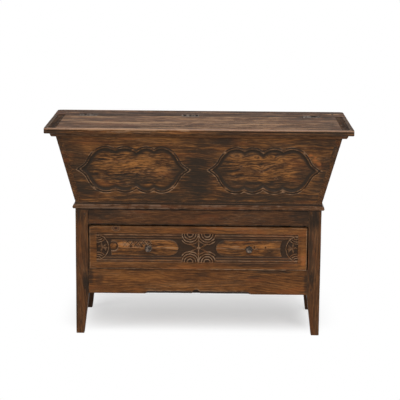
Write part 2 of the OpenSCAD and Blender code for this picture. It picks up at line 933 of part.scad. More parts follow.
middle_knuckle = leaf_w / 6 - run_clear;
outer_knuckles = [[-leaf_w / 2, -leaf_w / 6], [leaf_w / 6, leaf_w / 2]];

module rail_hinge_leaves() {
  color(iron) at_hinges() leaf(1, outer_knuckles);
}

module lid_hinge_leaves() {
  color(iron) at_hinges() leaf(-1, [[-middle_knuckle, middle_knuckle]]);
}

module hinge_pins() {
  color(iron) at_hinges()
    rotate([0, 90, 0]) cylinder(h = leaf_w + 2, r = pin_r, center = true);
}

module rail_hinge_nails() {
  color(iron) at_hinges() leaf_nail_places(1) nail(hinge_nail_l, 1.8);
}

// Nails down through the fixed rail into the trough's ends and back
module rail_nail_places() {
  for (s = [-1, 1], y = [hinge_y + leaf_d + 10, trough_y(rim_top) - front_t - 12])
    translate([s * (trough_x(rim_top) - end_t / 2), y, lid_top]) rotate([180, 0, 0]) children();
  for (x = [-0.65, 0, 0.65])
    translate([x * trough_x(rim_top), trough_y(rim_top) - front_t / 2, lid_top])
      rotate([180, 0, 0]) children();
}

module back_rail_nails() {
  color(iron) rail_nail_places() nail(nail_l, 1.8);
}

module back_rail() {
  color(walnut_light) difference() {
    translate([0, 0, rim_top]) linear_extrude(lid_t) union() {
      translate([-lid_half_w, hinge_y + lid_gap / 2])
        square([2 * lid_half_w, back_rail_d - lid_gap / 2 - rail_corner_r]);
      translate([-lid_half_w + rail_corner_r, lid_half_d - rail_corner_r - 1])
        square([2 * (lid_half_w - rail_corner_r), rail_corner_r + 1]);
      for (s = [-1, 1])
        translate([s * (lid_half_w - rail_corner_r), lid_half_d - rail_corner_r]) circle(rail_corner_r);
    }
    at_hinges() hinge_seat(1);
    at_hinges() leaf_nail_places(1) hinge_nail_bore();
    rail_nail_places() nail_bore(nail_l);
    for (s = [0, 1]) mirror([s, 0, 0]) rail_end_hollow();
  }
}

// The rail's ends carry the same moulding as the lid's edge
module rail_end_hollow() {
  difference() {
    box([-lid_half_w - 1, hinge_y - 1, rim_top - 1],
        [-lid_half_w + lid_moulding_w / 2, lid_half_d + 1, lid_top + 1]);
    run_y([for (p = lid_edge()) [-lid_half_w + lid_moulding_w - p.x, rim_top + p.y]],
      hinge_y - 2, lid_half_d + 2);
  }
}

// Outline of the lid's moulded edge, in distance out from its inner side and height
function lid_edge() =
  let (w = lid_moulding_w, r = lid_t * 0.21)
  concat(
    [[0, 0], [w - 3, 0], [w - 1, 2.5], [w - 1, lid_t - 2 * r - 1.5], [w - 2.6, lid_t - 2 * r]],
    arc(w - r, lid_t - r, r, -45, 90, 9),
    [[0, lid_t]]
  );

function lid_strip_edge() = [for (p = lid_edge()) [p.x, max(p.y, run_clear)]];

module lid_front_moulding() {
  color(walnut_light) intersection() {
    run_x([for (p = lid_strip_edge()) [plank_front_y - p.x, rim_top + p.y]], -lid_half_w, lid_half_w);
    translate([0, 0, rim_top - 1]) linear_extrude(lid_t + 2)
      front_run_plan(lid_half_w - lid_moulding_w, lid_half_d - lid_moulding_w, lid_moulding_w);
  }
}

module lid_left_moulding() {
  inner = lid_half_w - lid_moulding_w;
  color(walnut_light) intersection() {
    run_y([for (p = lid_strip_edge()) [-inner - p.x, rim_top + p.y]], -lid_half_d, plank_back_y);
    translate([0, 0, rim_top - 1]) linear_extrude(lid_t + 2)
      left_run_plan(inner, lid_half_d - lid_moulding_w, lid_moulding_w, plank_back_y);
  }
}

module lid_right_moulding() {
  flip_x() lid_left_moulding();
}

tongue_z = lid_under + (lid_t - lid_tongue_t) / 2 - 1;

// A plank of the lid with its two end tongues
module plank(y0, y1) {
  box([-plank_half_w, y0, lid_under], [plank_half_w, y1, lid_top]);
  box([-plank_half_w - cleat_tongue, y0, tongue_z],
      [plank_half_w + cleat_tongue, y1, tongue_z + lid_tongue_t]);
}

// The tongue along the joint of the two planks stops short of their ends
module plank_tongue() {
  tongue_x = plank_half_w - cleat_tongue;
  box([-tongue_x, plank_joint_y - 1, tongue_z],
      [tongue_x, plank_joint_y + lid_tongue_t, tongue_z + lid_tongue_t]);
}

module lid_front_plank() {
  color(walnut_light) difference() {
    union() {
      plank(plank_front_y, plank_joint_y);
      plank_tongue();
    }
    cleat_nail_places() nail_bore(lid_t - 4);
  }
}

module lid_back_plank() {
  color(walnut_light) difference() {
    plank(plank_joint_y, plank_back_y);
    plank_tongue();
    at_hinges() hinge_seat(-1);
    at_hinges() leaf_nail_places(-1) hinge_nail_bore();
    cleat_nail_places() nail_bore(lid_t - 4);
  }
}

module lid_left_cleat() {
  color(walnut_dark) difference() {
    box([-plank_half_w - cleat_w, plank_front_y, lid_under],
        [-plank_half_w, plank_back_y, lid_top - cleat_drop]);
    box([-plank_half_w - cleat_tongue, plank_front_y - 1, tongue_z],
        [-plank_half_w + 1, plank_back_y + 1, tongue_z + lid_tongue_t]);
    cleat_nail_places() nail_bore(lid_t - 4);
  }
}

module lid_right_cleat() {
  flip_x() lid_left_cleat();
}

// Two nails through each end of each plank's tongue
module cleat_nail_places() {
  for (s = [0, 1], y = [plank_front_y + 50, plank_joint_y - 50, plank_joint_y + 50, plank_back_y - 50])
    mirror([s, 0, 0])
      translate([-plank_half_w - cleat_tongue / 2, y, lid_top - cleat_drop])
        rotate([180, 0, 0]) children();
}

module lid_nails() {
  color(iron) {
    at_hinges() leaf_nail_places(-1) nail(hinge_nail_l, 1.8);
    cleat_nail_places() nail(lid_t - cleat_drop - 4, 1.2);
  }
}

// Drawer

// Tails in the plane of a side, growing towards -Y from y = 0
module tails(l) {
  for (i = [0:tail_count - 1]) {
    z = side_z0 + (i + 0.5) * tail_pitch;
    rotate([90, 0, 90]) linear_extrude(drawer_side_t) polygon([
      [eps, z - tail_h / 2 + tail_flare], [eps, z + tail_h / 2 - tail_flare],
      [-l, z + tail_h / 2], [-l, z - tail_h / 2]
    ]);
  }
}

// The tails at the front of the left side
module front_tails() {
  translate([-drawer_half, front_back_y, 0]) tails(tail_l);
}

// The pins of the drawer back, where they cross the left side
module back_pins() {
  y0 = drawer_end_y - drawer_back_t;
  difference() {
    box([-drawer_half, y0, back_z0], [-drawer_half + drawer_side_t, drawer_end_y, back_z1]);
    translate([-drawer_half, y0, 0]) mirror([0, 1, 0]) tails(drawer_back_t + eps);
  }
}

module drawer_left_side() {
  color(inner_wood) difference() {
    union() {
      box([-drawer_half, front_back_y, side_z0],
          [-drawer_half + drawer_side_t, drawer_end_y, side_z0 + drawer_side_h]);
      front_tails();
    }
    back_pins();
    box([-drawer_half + drawer_side_t - bottom_groove, front_back_y, side_z0 + bottom_rise],
        [-drawer_half + drawer_side_t + 1, drawer_end_y + 1, side_z0 + bottom_rise + drawer_bottom_t]);
  }
}

module drawer_right_side() {
  flip_x() drawer_left_side();
}

module drawer_back() {
  color(inner_wood) union() {
    box([-drawer_half + drawer_side_t, drawer_end_y - drawer_back_t, back_z0],
        [drawer_half - drawer_side_t, drawer_end_y, back_z1]);
    back_pins();
    flip_x() back_pins();
  }
}

module drawer_bottom() {
  z0 = side_z0 + bottom_rise + fit_clear;
  z1 = side_z0 + bottom_rise + drawer_bottom_t - fit_clear;
  inner = drawer_half - drawer_side_t;
  color(inner_wood) union() {
    box([-inner - bottom_groove + fit_clear, front_back_y + fit_clear, z0],
        [inner + bottom_groove - fit_clear, drawer_end_y, z1]);
    box([-inner + fit_clear, front_back_y - bottom_groove + fit_clear, z0],
        [inner - fit_clear, front_back_y + 1, z1]);
  }
}

// Draws on the drawer's face: X across, Y up, +Z outwards from the face
module on_drawer_face() {
  translate([0, drawer_face_y, 0]) rotate([90, 0, 0]) children();
}

function rect_ring(hw, z0, z1, inset) = [
  [hw - inset, z0 + inset], [hw - inset, z1 - inset], [-hw + inset, z1 - inset], [-hw + inset, z0 + inset]
];

// The sunk panel with its moulded edge
module panel_cut() {
  ring_loft([
    [rect_ring(carve_half_w, carve_z0, carve_z1, 16), -carve_depth],
    [rect_ring(carve_half_w, carve_z0, carve_z1, 10), -1],
    [rect_ring(carve_half_w, carve_z0, carve_z1, 5), -1],
    [rect_ring(carve_half_w, carve_z0, carve_z1, 2), -2.5],
    [rect_ring(carve_half_w, carve_z0, carve_z1, -0.8), 1]
  ]);
}

// A raised field: round towards the middle, bitten at its outer end, with a ridge along it
module raised_field() {
  half = field_h / 2;
  bite = field_h / 4;
  ground = -carve_depth - 1;
  intersection() {
    translate([0, carve_mid_z, ground]) linear_extrude(carve_depth + 2) difference() {
      union() {
        translate([field_x0 + half, -half]) square([field_x1 - field_x0 - half, field_h]);
        translate([field_x0 + half, 0]) circle(half);
      }
      translate([field_x1 + bite / 2, 0]) circle(bite);
    }
    translate([0, carve_mid_z, 0]) run_x([
      [-half, ground], [half, ground], [half, -field_edge_depth],
      [0, -ridge_depth], [-half, -field_edge_depth]
    ], field_x0 - 1, field_x1 + 1);
  }
  translate([field_x1 - bite / 4, carve_mid_z, ground])
    cylinder(h = carve_depth + 1 - ridge_depth - 0.5, r = bite * 0.55);
}

// Concentric arcs round the origin
module fan(r) {
  for (k = [0:2]) difference() {
    circle(r - k * 2 * carve_ridge);
    if (r - (k * 2 + 1) * carve_ridge > carve_ridge) circle(r - (k * 2 + 1) * carve_ridge);
  }
}

// A leaf of length l along X, pointed at both ends
module leaf_shape(l) {
  polygon(concat(
    bow([0, 0], [l / 2, -2 * leaf_half], [l, 0], 6),
    bow([l, 0], [l / 2, 2 * leaf_half], [0, 0], 6)
  ));
}

module carved_block(x0, x1) {
  ground = -carve_depth - 1;
  translate([x0, carve_z0, ground]) cube([x1 - x0, carve_z1 - carve_z0, carve_depth + 1 - 4]);
  translate([0, 0, ground]) linear_extrude(carve_depth + 1 - 0.8) intersection() {
    translate([x0, carve_z0]) square([x1 - x0, carve_z1 - carve_z0]);
    union() children();
  }
}

// Four fans, an upright rib and four leaves
module middle_rosette() {
  carved_block(-rosette_half, rosette_half) {
    for (sx = [-1, 1], z = [carve_z0, carve_z1])
      translate([sx * rosette_half / 2, z]) fan(fan_r);
    translate([-carve_ridge / 2, carve_z0]) square([carve_ridge, carve_z1 - carve_z0]);
    for (a = [12, 168, 192, 348])
      translate([0, carve_mid_z]) rotate(a) leaf_shape(rosette_half);
    translate([0, carve_mid_z]) circle(7);
  }
}

// Half a rosette against the right end of the panel
module end_rosette() {
  carved_block(carve_half_w - end_rosette_w, carve_half_w) {
    for (z = [carve_z0, carve_z1]) translate([carve_half_w, z]) fan(fan_r + 10);
    translate([carve_half_w, carve_mid_z]) difference() {
      circle((carve_z1 - carve_z0) / 2);
      circle((carve_z1 - carve_z0) / 2 - carve_ridge);
    }
    for (a = [150, 180, 210])
      translate([carve_half_w, carve_mid_z]) rotate(a) leaf_shape(end_rosette_w - carve_ridge);
  }
}

module knob_places() {
  for (x = [-left_knob_x, right_knob_x]) translate([x, knob_z, 0]) children();
}

module drawer_front() {
  color(walnut_light) difference() {
    union() {
      difference() {
        box([-drawer_half, drawer_face_y, front_z0], [drawer_half, front_back_y, front_z1]);
        on_drawer_face() translate([-carve_shift, 0, 0]) panel_cut();
      }
      on_drawer_face() translate([-carve_shift, 0, 0]) {
        raised_field();
        flip_x() raised_field();
        middle_rosette();
        end_rosette();
        flip_x() end_rosette();
      }
    }
    front_tails();
    flip_x() front_tails();
    box([-drawer_half + drawer_side_t, front_back_y - bottom_groove, side_z0 + bottom_rise],
        [drawer_half - drawer_side_t, front_back_y + 1, side_z0 + bottom_rise + drawer_bottom_t]);
    on_drawer_face() {
      knob_places() translate([0, 0, -drawer_front_t - 1])
        cylinder(h = drawer_front_t + 2, r = shank_r + fit_clear);
      knob_places() translate([0, 0, -ridge_depth - 1]) cylinder(h = 5, r = rose_r + lobe_r + 0.3);
      for (s = [-1, 1], d = [-1, 1])
        translate([s * handle_x + d * handle_pitch / 2, carve_mid_z + handle_rise, -drawer_front_t - 1])
          cylinder(h = drawer_front_t + 2, r = handle_hole_r);
    }
  }
}

// Everything of a knob stands on its seat, at z = 0
module at_knob(x) {
  translate([x, rose_seat, knob_z]) rotate([90, 0, 0]) children();
}

// A dished head on a turned neck, with its shank
module knob() {
  seat_depth = drawer_front_t - ridge_depth - 1;
  color(iron) union() {
    rotate_extrude() polygon(concat(
      [[0, rose_t], [knob_neck_r + 2.5, rose_t], [knob_neck_r + 2, rose_t + 2], [knob_neck_r, rose_t + 4],
       [knob_neck_r, rose_t + 8]],
      bow([knob_r - 3, rose_t + 10], [knob_r + 0.4, rose_t + 11], [knob_r, rose_t + 15], 4),
      bow([knob_r, rose_t + 15], [knob_r - 1, rose_t + 18], [knob_r - 4, rose_t + 17.5], 4),
      [[knob_r - 6, rose_t + 15.5], [knob_r * 0.3, rose_t + 15], [knob_r * 0.25, rose_t + 17],
       [0, rose_t + 17.6]]
    ));
    translate([0, 0, -seat_depth - nut_t - 2])
      cylinder(h = seat_depth + nut_t + 2 + rose_t + 1, r = shank_r);
  }
}

module left_knob() {
  at_knob(-left_knob_x) knob();
}

module right_knob() {
  at_knob(right_knob_x) knob();
}

module knob_roses() {
  color(iron) for (x = [-left_knob_x, right_knob_x]) at_knob(x)
    linear_extrude(rose_t) difference() {
      union() {
        circle(rose_r);
        for (i = [0:lobe_count - 1]) rotate(i * 360 / lobe_count) translate([rose_r, 0]) circle(lobe_r);
      }
      circle(shank_r + fit_clear);
    }
}

module knob_nuts() {
  color(iron) for (x = [-left_knob_x, right_knob_x])
    translate([x, front_back_y, knob_z]) rotate([-90, 0, 0]) linear_extrude(nut_t) difference() {
      square(nut_w, center = true);
      circle(shank_r + fit_clear);
    }
}

front_left_leg();
front_right_leg();
back_left_leg();
back_right_leg();
front_top_rail();
front_apron();
left_top_rail();
left_bottom_rail();
left_panel();
right_top_rail();
right_bottom_rail();
right_panel();
back_top_rail();
back_bottom_rail();
back_panel();
left_drawer_runner();
right_drawer_runner();
drawer_kickers();
drawer_stops();
joint_pegs();
waist_moulding_front();
waist_moulding_left();
waist_moulding_right();
trough_front_board();
trough_back_board();
trough_left_end();
trough_right_end();
trough_floor_front();
trough_floor_back();
trough_nails();
floor_nails();
rim_moulding_front();
rim_moulding_left();
rim_moulding_right();
back_rail();
back_rail_nails();
rail_hinge_leaves();
hinge_pins();
rail_hinge_nails();
lid_front_plank();
lid_back_plank();
lid_left_cleat();
lid_right_cleat();
lid_front_moulding();
lid_left_moulding();
lid_right_moulding();
lid_hinge_leaves();
lid_nails();
drawer_front();
drawer_left_side();
drawer_right_side();
drawer_back();
drawer_bottom();
left_knob();
right_knob();
knob_roses();
knob_nuts();
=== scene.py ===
import math

import bmesh
import bpy
import numpy as np
from mathutils import Matrix, Vector, noise


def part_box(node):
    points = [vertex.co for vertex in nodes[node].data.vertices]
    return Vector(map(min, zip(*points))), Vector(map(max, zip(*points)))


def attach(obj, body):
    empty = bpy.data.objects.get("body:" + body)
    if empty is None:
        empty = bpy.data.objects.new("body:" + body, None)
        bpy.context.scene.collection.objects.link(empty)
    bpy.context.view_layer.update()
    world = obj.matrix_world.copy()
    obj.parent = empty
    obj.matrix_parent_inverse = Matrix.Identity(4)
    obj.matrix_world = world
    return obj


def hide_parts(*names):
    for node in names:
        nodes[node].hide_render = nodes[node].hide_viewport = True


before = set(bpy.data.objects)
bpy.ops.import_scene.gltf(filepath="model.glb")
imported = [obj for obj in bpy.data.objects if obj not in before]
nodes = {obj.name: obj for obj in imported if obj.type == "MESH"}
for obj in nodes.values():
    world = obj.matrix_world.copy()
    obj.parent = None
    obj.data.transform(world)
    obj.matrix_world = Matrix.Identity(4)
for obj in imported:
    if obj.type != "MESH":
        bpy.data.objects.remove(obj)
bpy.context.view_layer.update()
mm = 0.001


# Shader building: one class that stands for a socket

class Wire:
    def __init__(self, tree, socket=None):
        self.tree = tree
        self.socket = socket

    def node(self, kind, settings, inputs, output=0):
        made = self.tree.nodes.new(kind)
        for key, value in settings.items():
            if key == "stops":
                ramp = made.color_ramp
                ramp.elements[0].position, ramp.elements[0].color = value[0][0], (*value[0][1], 1)
                ramp.elements[1].position, ramp.elements[1].color = value[-1][0], (*value[-1][1], 1)
                for place, colour in value[1:-1]:
                    ramp.elements.new(place).color = (*colour, 1)
            else:
                setattr(made, key, value)
        for key, value in inputs.items():
            if isinstance(value, Wire):
                self.tree.links.new(value.socket, made.inputs[key])
            else:
                made.inputs[key].default_value = value
        return Wire(self.tree, None if output is None else made.outputs[output])

    def parts(self):
        # The X, Y and Z of a vector
        first = self.node("ShaderNodeSeparateXYZ", {}, {0: self})
        return tuple(Wire(self.tree, first.socket.node.outputs[i]) for i in range(3))

    def into(self, shader, name):
        self.tree.links.new(self.socket, shader.inputs[name])

    def maths(self, operation, *others):
        values = dict(enumerate([self, *others]))
        return self.node("ShaderNodeMath", {"operation": operation}, values)

    def __add__(self, other): return self.maths("ADD", other)
    def __sub__(self, other): return self.maths("SUBTRACT", other)
    def __mul__(self, other): return self.maths("MULTIPLY", other)
    def __truediv__(self, other): return self.maths("DIVIDE", other)
    def __pow__(self, other): return self.maths("POWER", other)
    def __radd__(self, other): return self.maths("ADD", other)
    def __rmul__(self, other): return self.maths("MULTIPLY", other)
    def __neg__(self): return self.maths("MULTIPLY", -1.0)
    def __rsub__(self, other): return (-self).maths("ADD", other)

    def least(self, other): return self.maths("MINIMUM", other)
    def most(self, other): return self.maths("MAXIMUM", other)

    def step(self, low, high):
        # 0 at low and 1 at high, eased; low may be above high
        settings = {"interpolation_type": "SMOOTHSTEP"}
        if low < high:
            return self.node("ShaderNodeMapRange", settings, {0: self, 1: low, 2: high, 3: 0.0, 4: 1.0})
        return self.node("ShaderNodeMapRange", settings, {0: self, 1: high, 2: low, 3: 1.0, 4: 0.0})

    def over(self, colour, mask):
        # This colour, with another laid over it where the mask is 1
        return self.node("ShaderNodeMix", {"data_type": "RGBA"}, {0: mask, 6: self, 7: colour}, 2)


def rgb(*parts):
    return (*parts, 1.0)


def noiseAt(coords, scale, detail=2.0, rough=0.5):
    return coords.node("ShaderNodeTexNoise", {}, {"Vector": coords, "Scale": scale, "Detail": detail,
                                                  "Roughness": rough})


def frayed(value, *noises):
    # A value made uneven by noises, each given with its amount
    for grain, amount in noises:
        value = value + (grain - 0.5) * amount
    return value


def newMaterial(name):
    # A material, a wire into its tree, and its shader
    material = bpy.data.materials.new(name)
    material.use_nodes = True
    tree = material.node_tree
    return material, Wire(tree), tree.nodes["Principled BSDF"]


# Finishes of the walnut; colours are linear, and what a finish leaves out is in the base
woodBase = {"tone": 0.47, "bands": 38.0, "mottleDepth": 0.30, "cloudDepth": 0.40, "ring": 7.0, "ringDepth": 0.14,
            "grimeShare": 0.50, "dustAndSheenShare": 0.18}
finishes = {
    "trough": {
        "deep": (0.014, 0.008, 0.005), "mid": (0.079, 0.033, 0.0115), "light": (0.268, 0.109, 0.029),
        "grimeAndShade": (0.021, 0.0140, 0.0088), "wearAndHighlight": (0.260, 0.148, 0.080), "dustAndSheen": (0.094, 0.060, 0.037),
        "blush": (0.150, 0.044, 0.012), "bands": 40.0, "bandDepth": 0.38, "streakDepth": 0.85,
        "dashDepth": 1.20, "ring": 8.5, "rough": 0.47, "gloss": 0.10},
    "frame": {
        "deep": (0.012, 0.007, 0.004), "mid": (0.066, 0.027, 0.010), "light": (0.190, 0.076, 0.023),
        "grimeAndShade": (0.017, 0.0110, 0.0070), "wearAndHighlight": (0.18, 0.106, 0.059), "dustAndSheen": (0.080, 0.052, 0.033),
        "blush": (0.125, 0.036, 0.010), "tone": 0.48, "bandDepth": 0.32, "streakDepth": 0.70,
        "dashDepth": 0.90, "ringDepth": 0.10, "grimeShare": 0.40, "dustAndSheenShare": 0.20, "rough": 0.48, "gloss": 0.10},
    "warm": {
        "deep": (0.022, 0.010, 0.004), "mid": (0.108, 0.040, 0.0110), "light": (0.272, 0.106, 0.0255),
        "grimeAndShade": (0.023, 0.0135, 0.0080), "wearAndHighlight": (0.225, 0.129, 0.068), "dustAndSheen": (0.115, 0.070, 0.037),
        "blush": (0.185, 0.054, 0.014), "bandDepth": 0.35, "streakDepth": 0.80, "dashDepth": 1.05,
        "mottleDepth": 0.25, "cloudDepth": 0.32, "ring": 7.5, "grimeShare": 0.35, "rough": 0.46, "gloss": 0.10},
    # The lid's grey dust layer is strong: it is dust, and also painted sheen on the lid's top
    "lid": {
        "deep": (0.017, 0.0085, 0.0053), "mid": (0.074, 0.0355, 0.0190), "light": (0.266, 0.157, 0.086),
        "grimeAndShade": (0.020, 0.012, 0.008), "wearAndHighlight": (0.265, 0.163, 0.093), "dustAndSheen": (0.116, 0.075, 0.050),
        "blush": (0.125, 0.046, 0.021), "tone": 0.465, "bands": 19.0, "bandDepth": 1.40, "streakDepth": 1.85,
        "dashDepth": 1.40, "mottleDepth": 0.60, "cloudDepth": 0.45, "ring": 9.0, "ringDepth": 0.10,
        "grimeShare": 0.60, "dustAndSheenShare": 0.45, "rough": 0.68, "gloss": 0.06},
    "cleat": {
        "deep": (0.006, 0.004, 0.003), "mid": (0.026, 0.013, 0.007), "light": (0.085, 0.046, 0.024),
        "grimeAndShade": (0.010, 0.007, 0.005), "wearAndHighlight": (0.11, 0.070, 0.045), "dustAndSheen": (0.045, 0.030, 0.020),
        "blush": (0.045, 0.018, 0.008), "bandDepth": 0.90, "streakDepth": 1.20, "dashDepth": 1.00,
        "mottleDepth": 0.50, "cloudDepth": 0.50, "ringDepth": 0.12, "grimeShare": 0.60, "dustAndSheenShare": 0.20,
        "rough": 0.80, "gloss": 0.03},
    "dark": {
        "deep": (0.010, 0.006, 0.004), "mid": (0.038, 0.021, 0.012), "light": (0.110, 0.064, 0.036),
        "grimeAndShade": (0.014, 0.010, 0.007), "wearAndHighlight": (0.15, 0.105, 0.072), "dustAndSheen": (0.070, 0.052, 0.040),
        "blush": (0.060, 0.026, 0.012), "bandDepth": 0.80, "streakDepth": 1.10, "dashDepth": 1.00,
        "mottleDepth": 0.50, "cloudDepth": 0.60, "ringDepth": 0.12, "dustAndSheenShare": 0.25, "rough": 0.66, "gloss": 0.06},
    "inner": {
        "deep": (0.085, 0.050, 0.027), "mid": (0.205, 0.125, 0.068), "light": (0.330, 0.225, 0.132),
        "grimeAndShade": (0.085, 0.058, 0.038), "wearAndHighlight": (0.40, 0.30, 0.20), "dustAndSheen": (0.25, 0.19, 0.13),
        "blush": (0.22, 0.11, 0.05), "tone": 0.50, "bands": 36.0, "bandDepth": 0.45, "streakDepth": 0.70,
        "dashDepth": 0.35, "mottleDepth": 0.25, "cloudDepth": 0.50, "ring": 6.0, "ringDepth": 0.30,
        "dustAndSheenShare": 0.30, "rough": 0.74, "gloss": 0.15},
}
ember = (0.34, 0.105, 0.026)
jointShadowAndDirt = (0.004, 0.003, 0.002)
knotRings = [(0.0, (0.010, 0.006, 0.004)), (0.42, (0.05, 0.020, 0.009)), (0.60, (0.15, 0.066, 0.028)),
             (0.80, (0.020, 0.011, 0.007)), (1.0, (0.17, 0.085, 0.040))]


def makeWood(name, finish, grain, box, shift, pith=(0.03, 0.16), hollow=False, stainsAndShadows=(), knots=(), wear=0.5,
             glow=(), lift=0.0, swirls=(), embers=(), pale=(), seams=(), lively=(), even=0.0, sootAndShade=0.95,
             crestColour=None, flat=False):
    # grain is the axis of the fibres, box the piece's corners, pith where the tree's heart lies;
    # stains, glow, embers and pale are dark, bright, orange and rubbed patches, as (x, z, half width,
    # half height, strength), with some dark ones painted shadow lines; swirls bend the fibres by the last number
    # in metres, seams are dark joint lines of painted shadow and dirt, as (axis, place, half width, strength); lively
    # patches have stronger short marks;
    # on a flat board the patches lie in x and y
    f = {**woodBase, **finishes[finish]}
    material, start, shader = newMaterial(name)
    place = start.node("ShaderNodeTexCoord", {}, {}, "Object")
    x, y, z = place.parts()
    along, across, deep = {"x": (x, z, y), "z": (z, x, y), "y": (y, x, z)}[grain]
    along, across, deep = along + shift[0], across + shift[1], deep + shift[2]

    def patchAt(px, pz, wide, high):
        return ((x - px) / wide) ** 2.0 + (((y if flat else z) - pz) / high) ** 2.0

    def drawn(long, wide, scale=1.0, detail=2.0, rough=0.5, sideways=across, inwards=deep):
        # Noise drawn out along the fibres
        return noiseAt(start.node("ShaderNodeCombineXYZ", {}, {0: along * long, 1: sideways * wide,
                                                               2: inwards * wide}), scale, detail, rough)

    # Growth rings round a heart that wanders along the board, bent round knots
    wander = drawn(1.1, 1.2, 2.2)
    ripple = drawn(6.0, 14.0, 1.6, 3.0)
    side = frayed(across - pith[0], (wander, 0.060), (ripple, 0.010))
    for *spot, bend in swirls:
        side = side + (-patchAt(*spot)).maths("EXPONENT") * bend
    for px, pz, size in knots:
        below = (z - pz) / (2.2 * size)
        side = side + (-patchAt(px, pz, 3.2 * size, 2.2 * size)).maths("EXPONENT") * below * (1.6 * size)
    back = deep - pith[1]
    radius = (side * side + back * back).maths("SQRT")
    ring = (radius / (f["ring"] * mm) + (wander * 3.0)).maths("FRACT")
    late = ring.step(0.30, 0.92) * ring.step(1.0, 0.93)

    # Bands and streaks of colour, short flecks and fine pores, all drawn out along the grain
    band = drawn(2.2, f["bands"], 1.0, 3.0, 0.60, side, back)
    streak = drawn(7.0, f["bands"] * 3.6, 1.0, 4.0, 0.65, side, back)
    fleck = drawn(24.0, 210.0, 1.0, 3.0, 0.62, side)
    speck = drawn(55.0, 260.0, 1.0, 2.0, 0.60)
    mottle = drawn(14.0, 40.0, 1.0, 4.0, 0.65)
    pore = drawn(45.0, 640.0, 1.0, 1.0)
    cloud = drawn(2.0, 5.5, 1.5, 3.0, 0.55)
    tone = frayed(f["tone"] + lift, (band, f["bandDepth"]), (streak, f["streakDepth"]), (fleck, f["dashDepth"]),
                  (pore, 0.30), (cloud, f["cloudDepth"]), (mottle, f["mottleDepth"]))
    tone = tone - (late - 0.35) * f["ringDepth"]
    for *spot, strength in glow:
        reach = frayed(patchAt(*spot), (mottle, 3.6), (fleck, 2.4), (streak, 2.4))
        tone = tone + reach.step(1.5, -0.1) * strength
    for *spot, strength in lively:
        marks = frayed((fleck - 0.5) * 2.1, (speck, 0.8), (streak, 0.6))
        tone = tone + patchAt(*spot).step(1.3, 0.4) * marks * strength
    middle = tuple(0.55 * a + 0.45 * b for a, b in zip(f["deep"], f["mid"]))
    colour = tone.node("ShaderNodeValToRGB", {"stops": [
        (0.06, f["deep"]), (0.26, middle), (0.48, f["mid"]), (0.94, f["light"])]}, {0: tone})

    # Reddish heartwood here and there, and wax gone grey in places; on the lid this grey layer is also painted sheen
    warmth = drawn(3.0, 12.0, 1.7, 4.0, 0.6)
    colour = colour.over(rgb(*f["blush"]), warmth.step(0.52, 0.72) * 0.45)
    for *spot, strength in embers:
        reach = frayed(patchAt(*spot), (fleck, 4.5), (mottle, 4.5))
        colour = colour.over(rgb(*ember), reach.step(1.0, 0.2) * strength)
    haze = drawn(3.5, 18.0, 1.4, 4.0, 0.6)
    colour = colour.over(rgb(*f["dustAndSheen"]), haze.step(0.46, 0.70) * f["dustAndSheenShare"])
    colour = colour.over(rgb(*f["wearAndHighlight"]), frayed(speck, (haze, 0.4)).step(0.60, 0.74) * 0.30)

    # Dirt in broad patches, thicker in the stained places, dark cracks along the grain, and painted shade in the
    # hollows
    patch = drawn(3.0, 9.0, 1.3, 5.0, 0.65)
    dirtAndShade = patch.step(0.50, 0.74) * f["grimeShare"]
    crack = frayed(band * 0.4 + streak * 0.6, (fleck, 0.30)).step(0.39, 0.31)
    dirtAndShade = dirtAndShade.most(crack * 0.70).most(frayed(speck, (mottle, 0.3)).step(0.36, 0.28) * 0.6)
    for *spot, strength in stainsAndShadows:
        reach = frayed(patchAt(*spot), (mottle, 1.8), (streak, 1.4), (fleck, 1.2))
        dirtAndShade = dirtAndShade.most(reach.step(1.5, -0.1) * strength)
    # The hollow attribute darkens recesses: painted shade, with the dirt that lies there
    if hollow:
        sunk = start.node("ShaderNodeAttribute", {"attribute_name": "hollow"}, {}, "Fac")
        dirtAndShade = dirtAndShade.most(frayed(sunk, (fleck, 0.45), (mottle, 0.4)).step(0.16, 0.98) * sootAndShade)
    colour = colour.over(rgb(*f["grimeAndShade"]), dirtAndShade.most(0.0).least(1.0))
    # Dark lines along joints: painted shadow in their gaps and under overhangs, with dirt
    for axis, at, half, strength in seams:
        gap = frayed(({"x": x, "y": y, "z": z}[axis] - at).maths("ABSOLUTE"), (mottle, 0.7 * half))
        colour = colour.over(rgb(*jointShadowAndDirt), gap.step(half, 0.45 * half) * strength)

    # Knots: rings round a dark middle
    for px, pz, size in knots:
        away = frayed(patchAt(px, pz, 1.25 * size, size).maths("SQRT"), (ripple, 0.4))
        eye = away.node("ShaderNodeValToRGB", {"stops": knotRings}, {0: away})
        colour = colour.over(eye, away.step(1.35, 0.8))

    # Worn edges, from the distance to the nearest edge of the board's box
    rub = noiseAt(place, 34.0, 3.0, 0.6)
    if wear > 0:
        a, b, c = ((part - low).least(high - part).most(0.0) for part, low, high in zip((x, y, z), *box))
        near = a.least(b).most(a.most(b).least(c))
        edge = frayed(near, (rub, 0.008)).step(0.0042, 0.0008)
        colour = colour.over(rgb(*f["wearAndHighlight"]), edge * rub.step(0.40, 0.62) * wear)
    # Crests painted lighter: wear, and painted highlights on noses, beads and ridges
    if hollow:
        crest = start.node("ShaderNodeAttribute", {"attribute_name": "crest"}, {}, "Fac")
        rubbedAndHighlit = frayed(rub, (fleck, 1.1), (patch, 0.9)).step(0.42, 0.62) * (1.0 - even) + even
        colour = colour.over(rgb(*(crestColour or f["wearAndHighlight"])), (crest * rubbedAndHighlit * 0.85).least(1.0))
    for *spot, strength in pale:
        reach = frayed(patchAt(*spot), (fleck, 6.0), (mottle, 5.0))
        colour = colour.over(rgb(*f["wearAndHighlight"]), reach.step(1.0, 0.2) * strength)

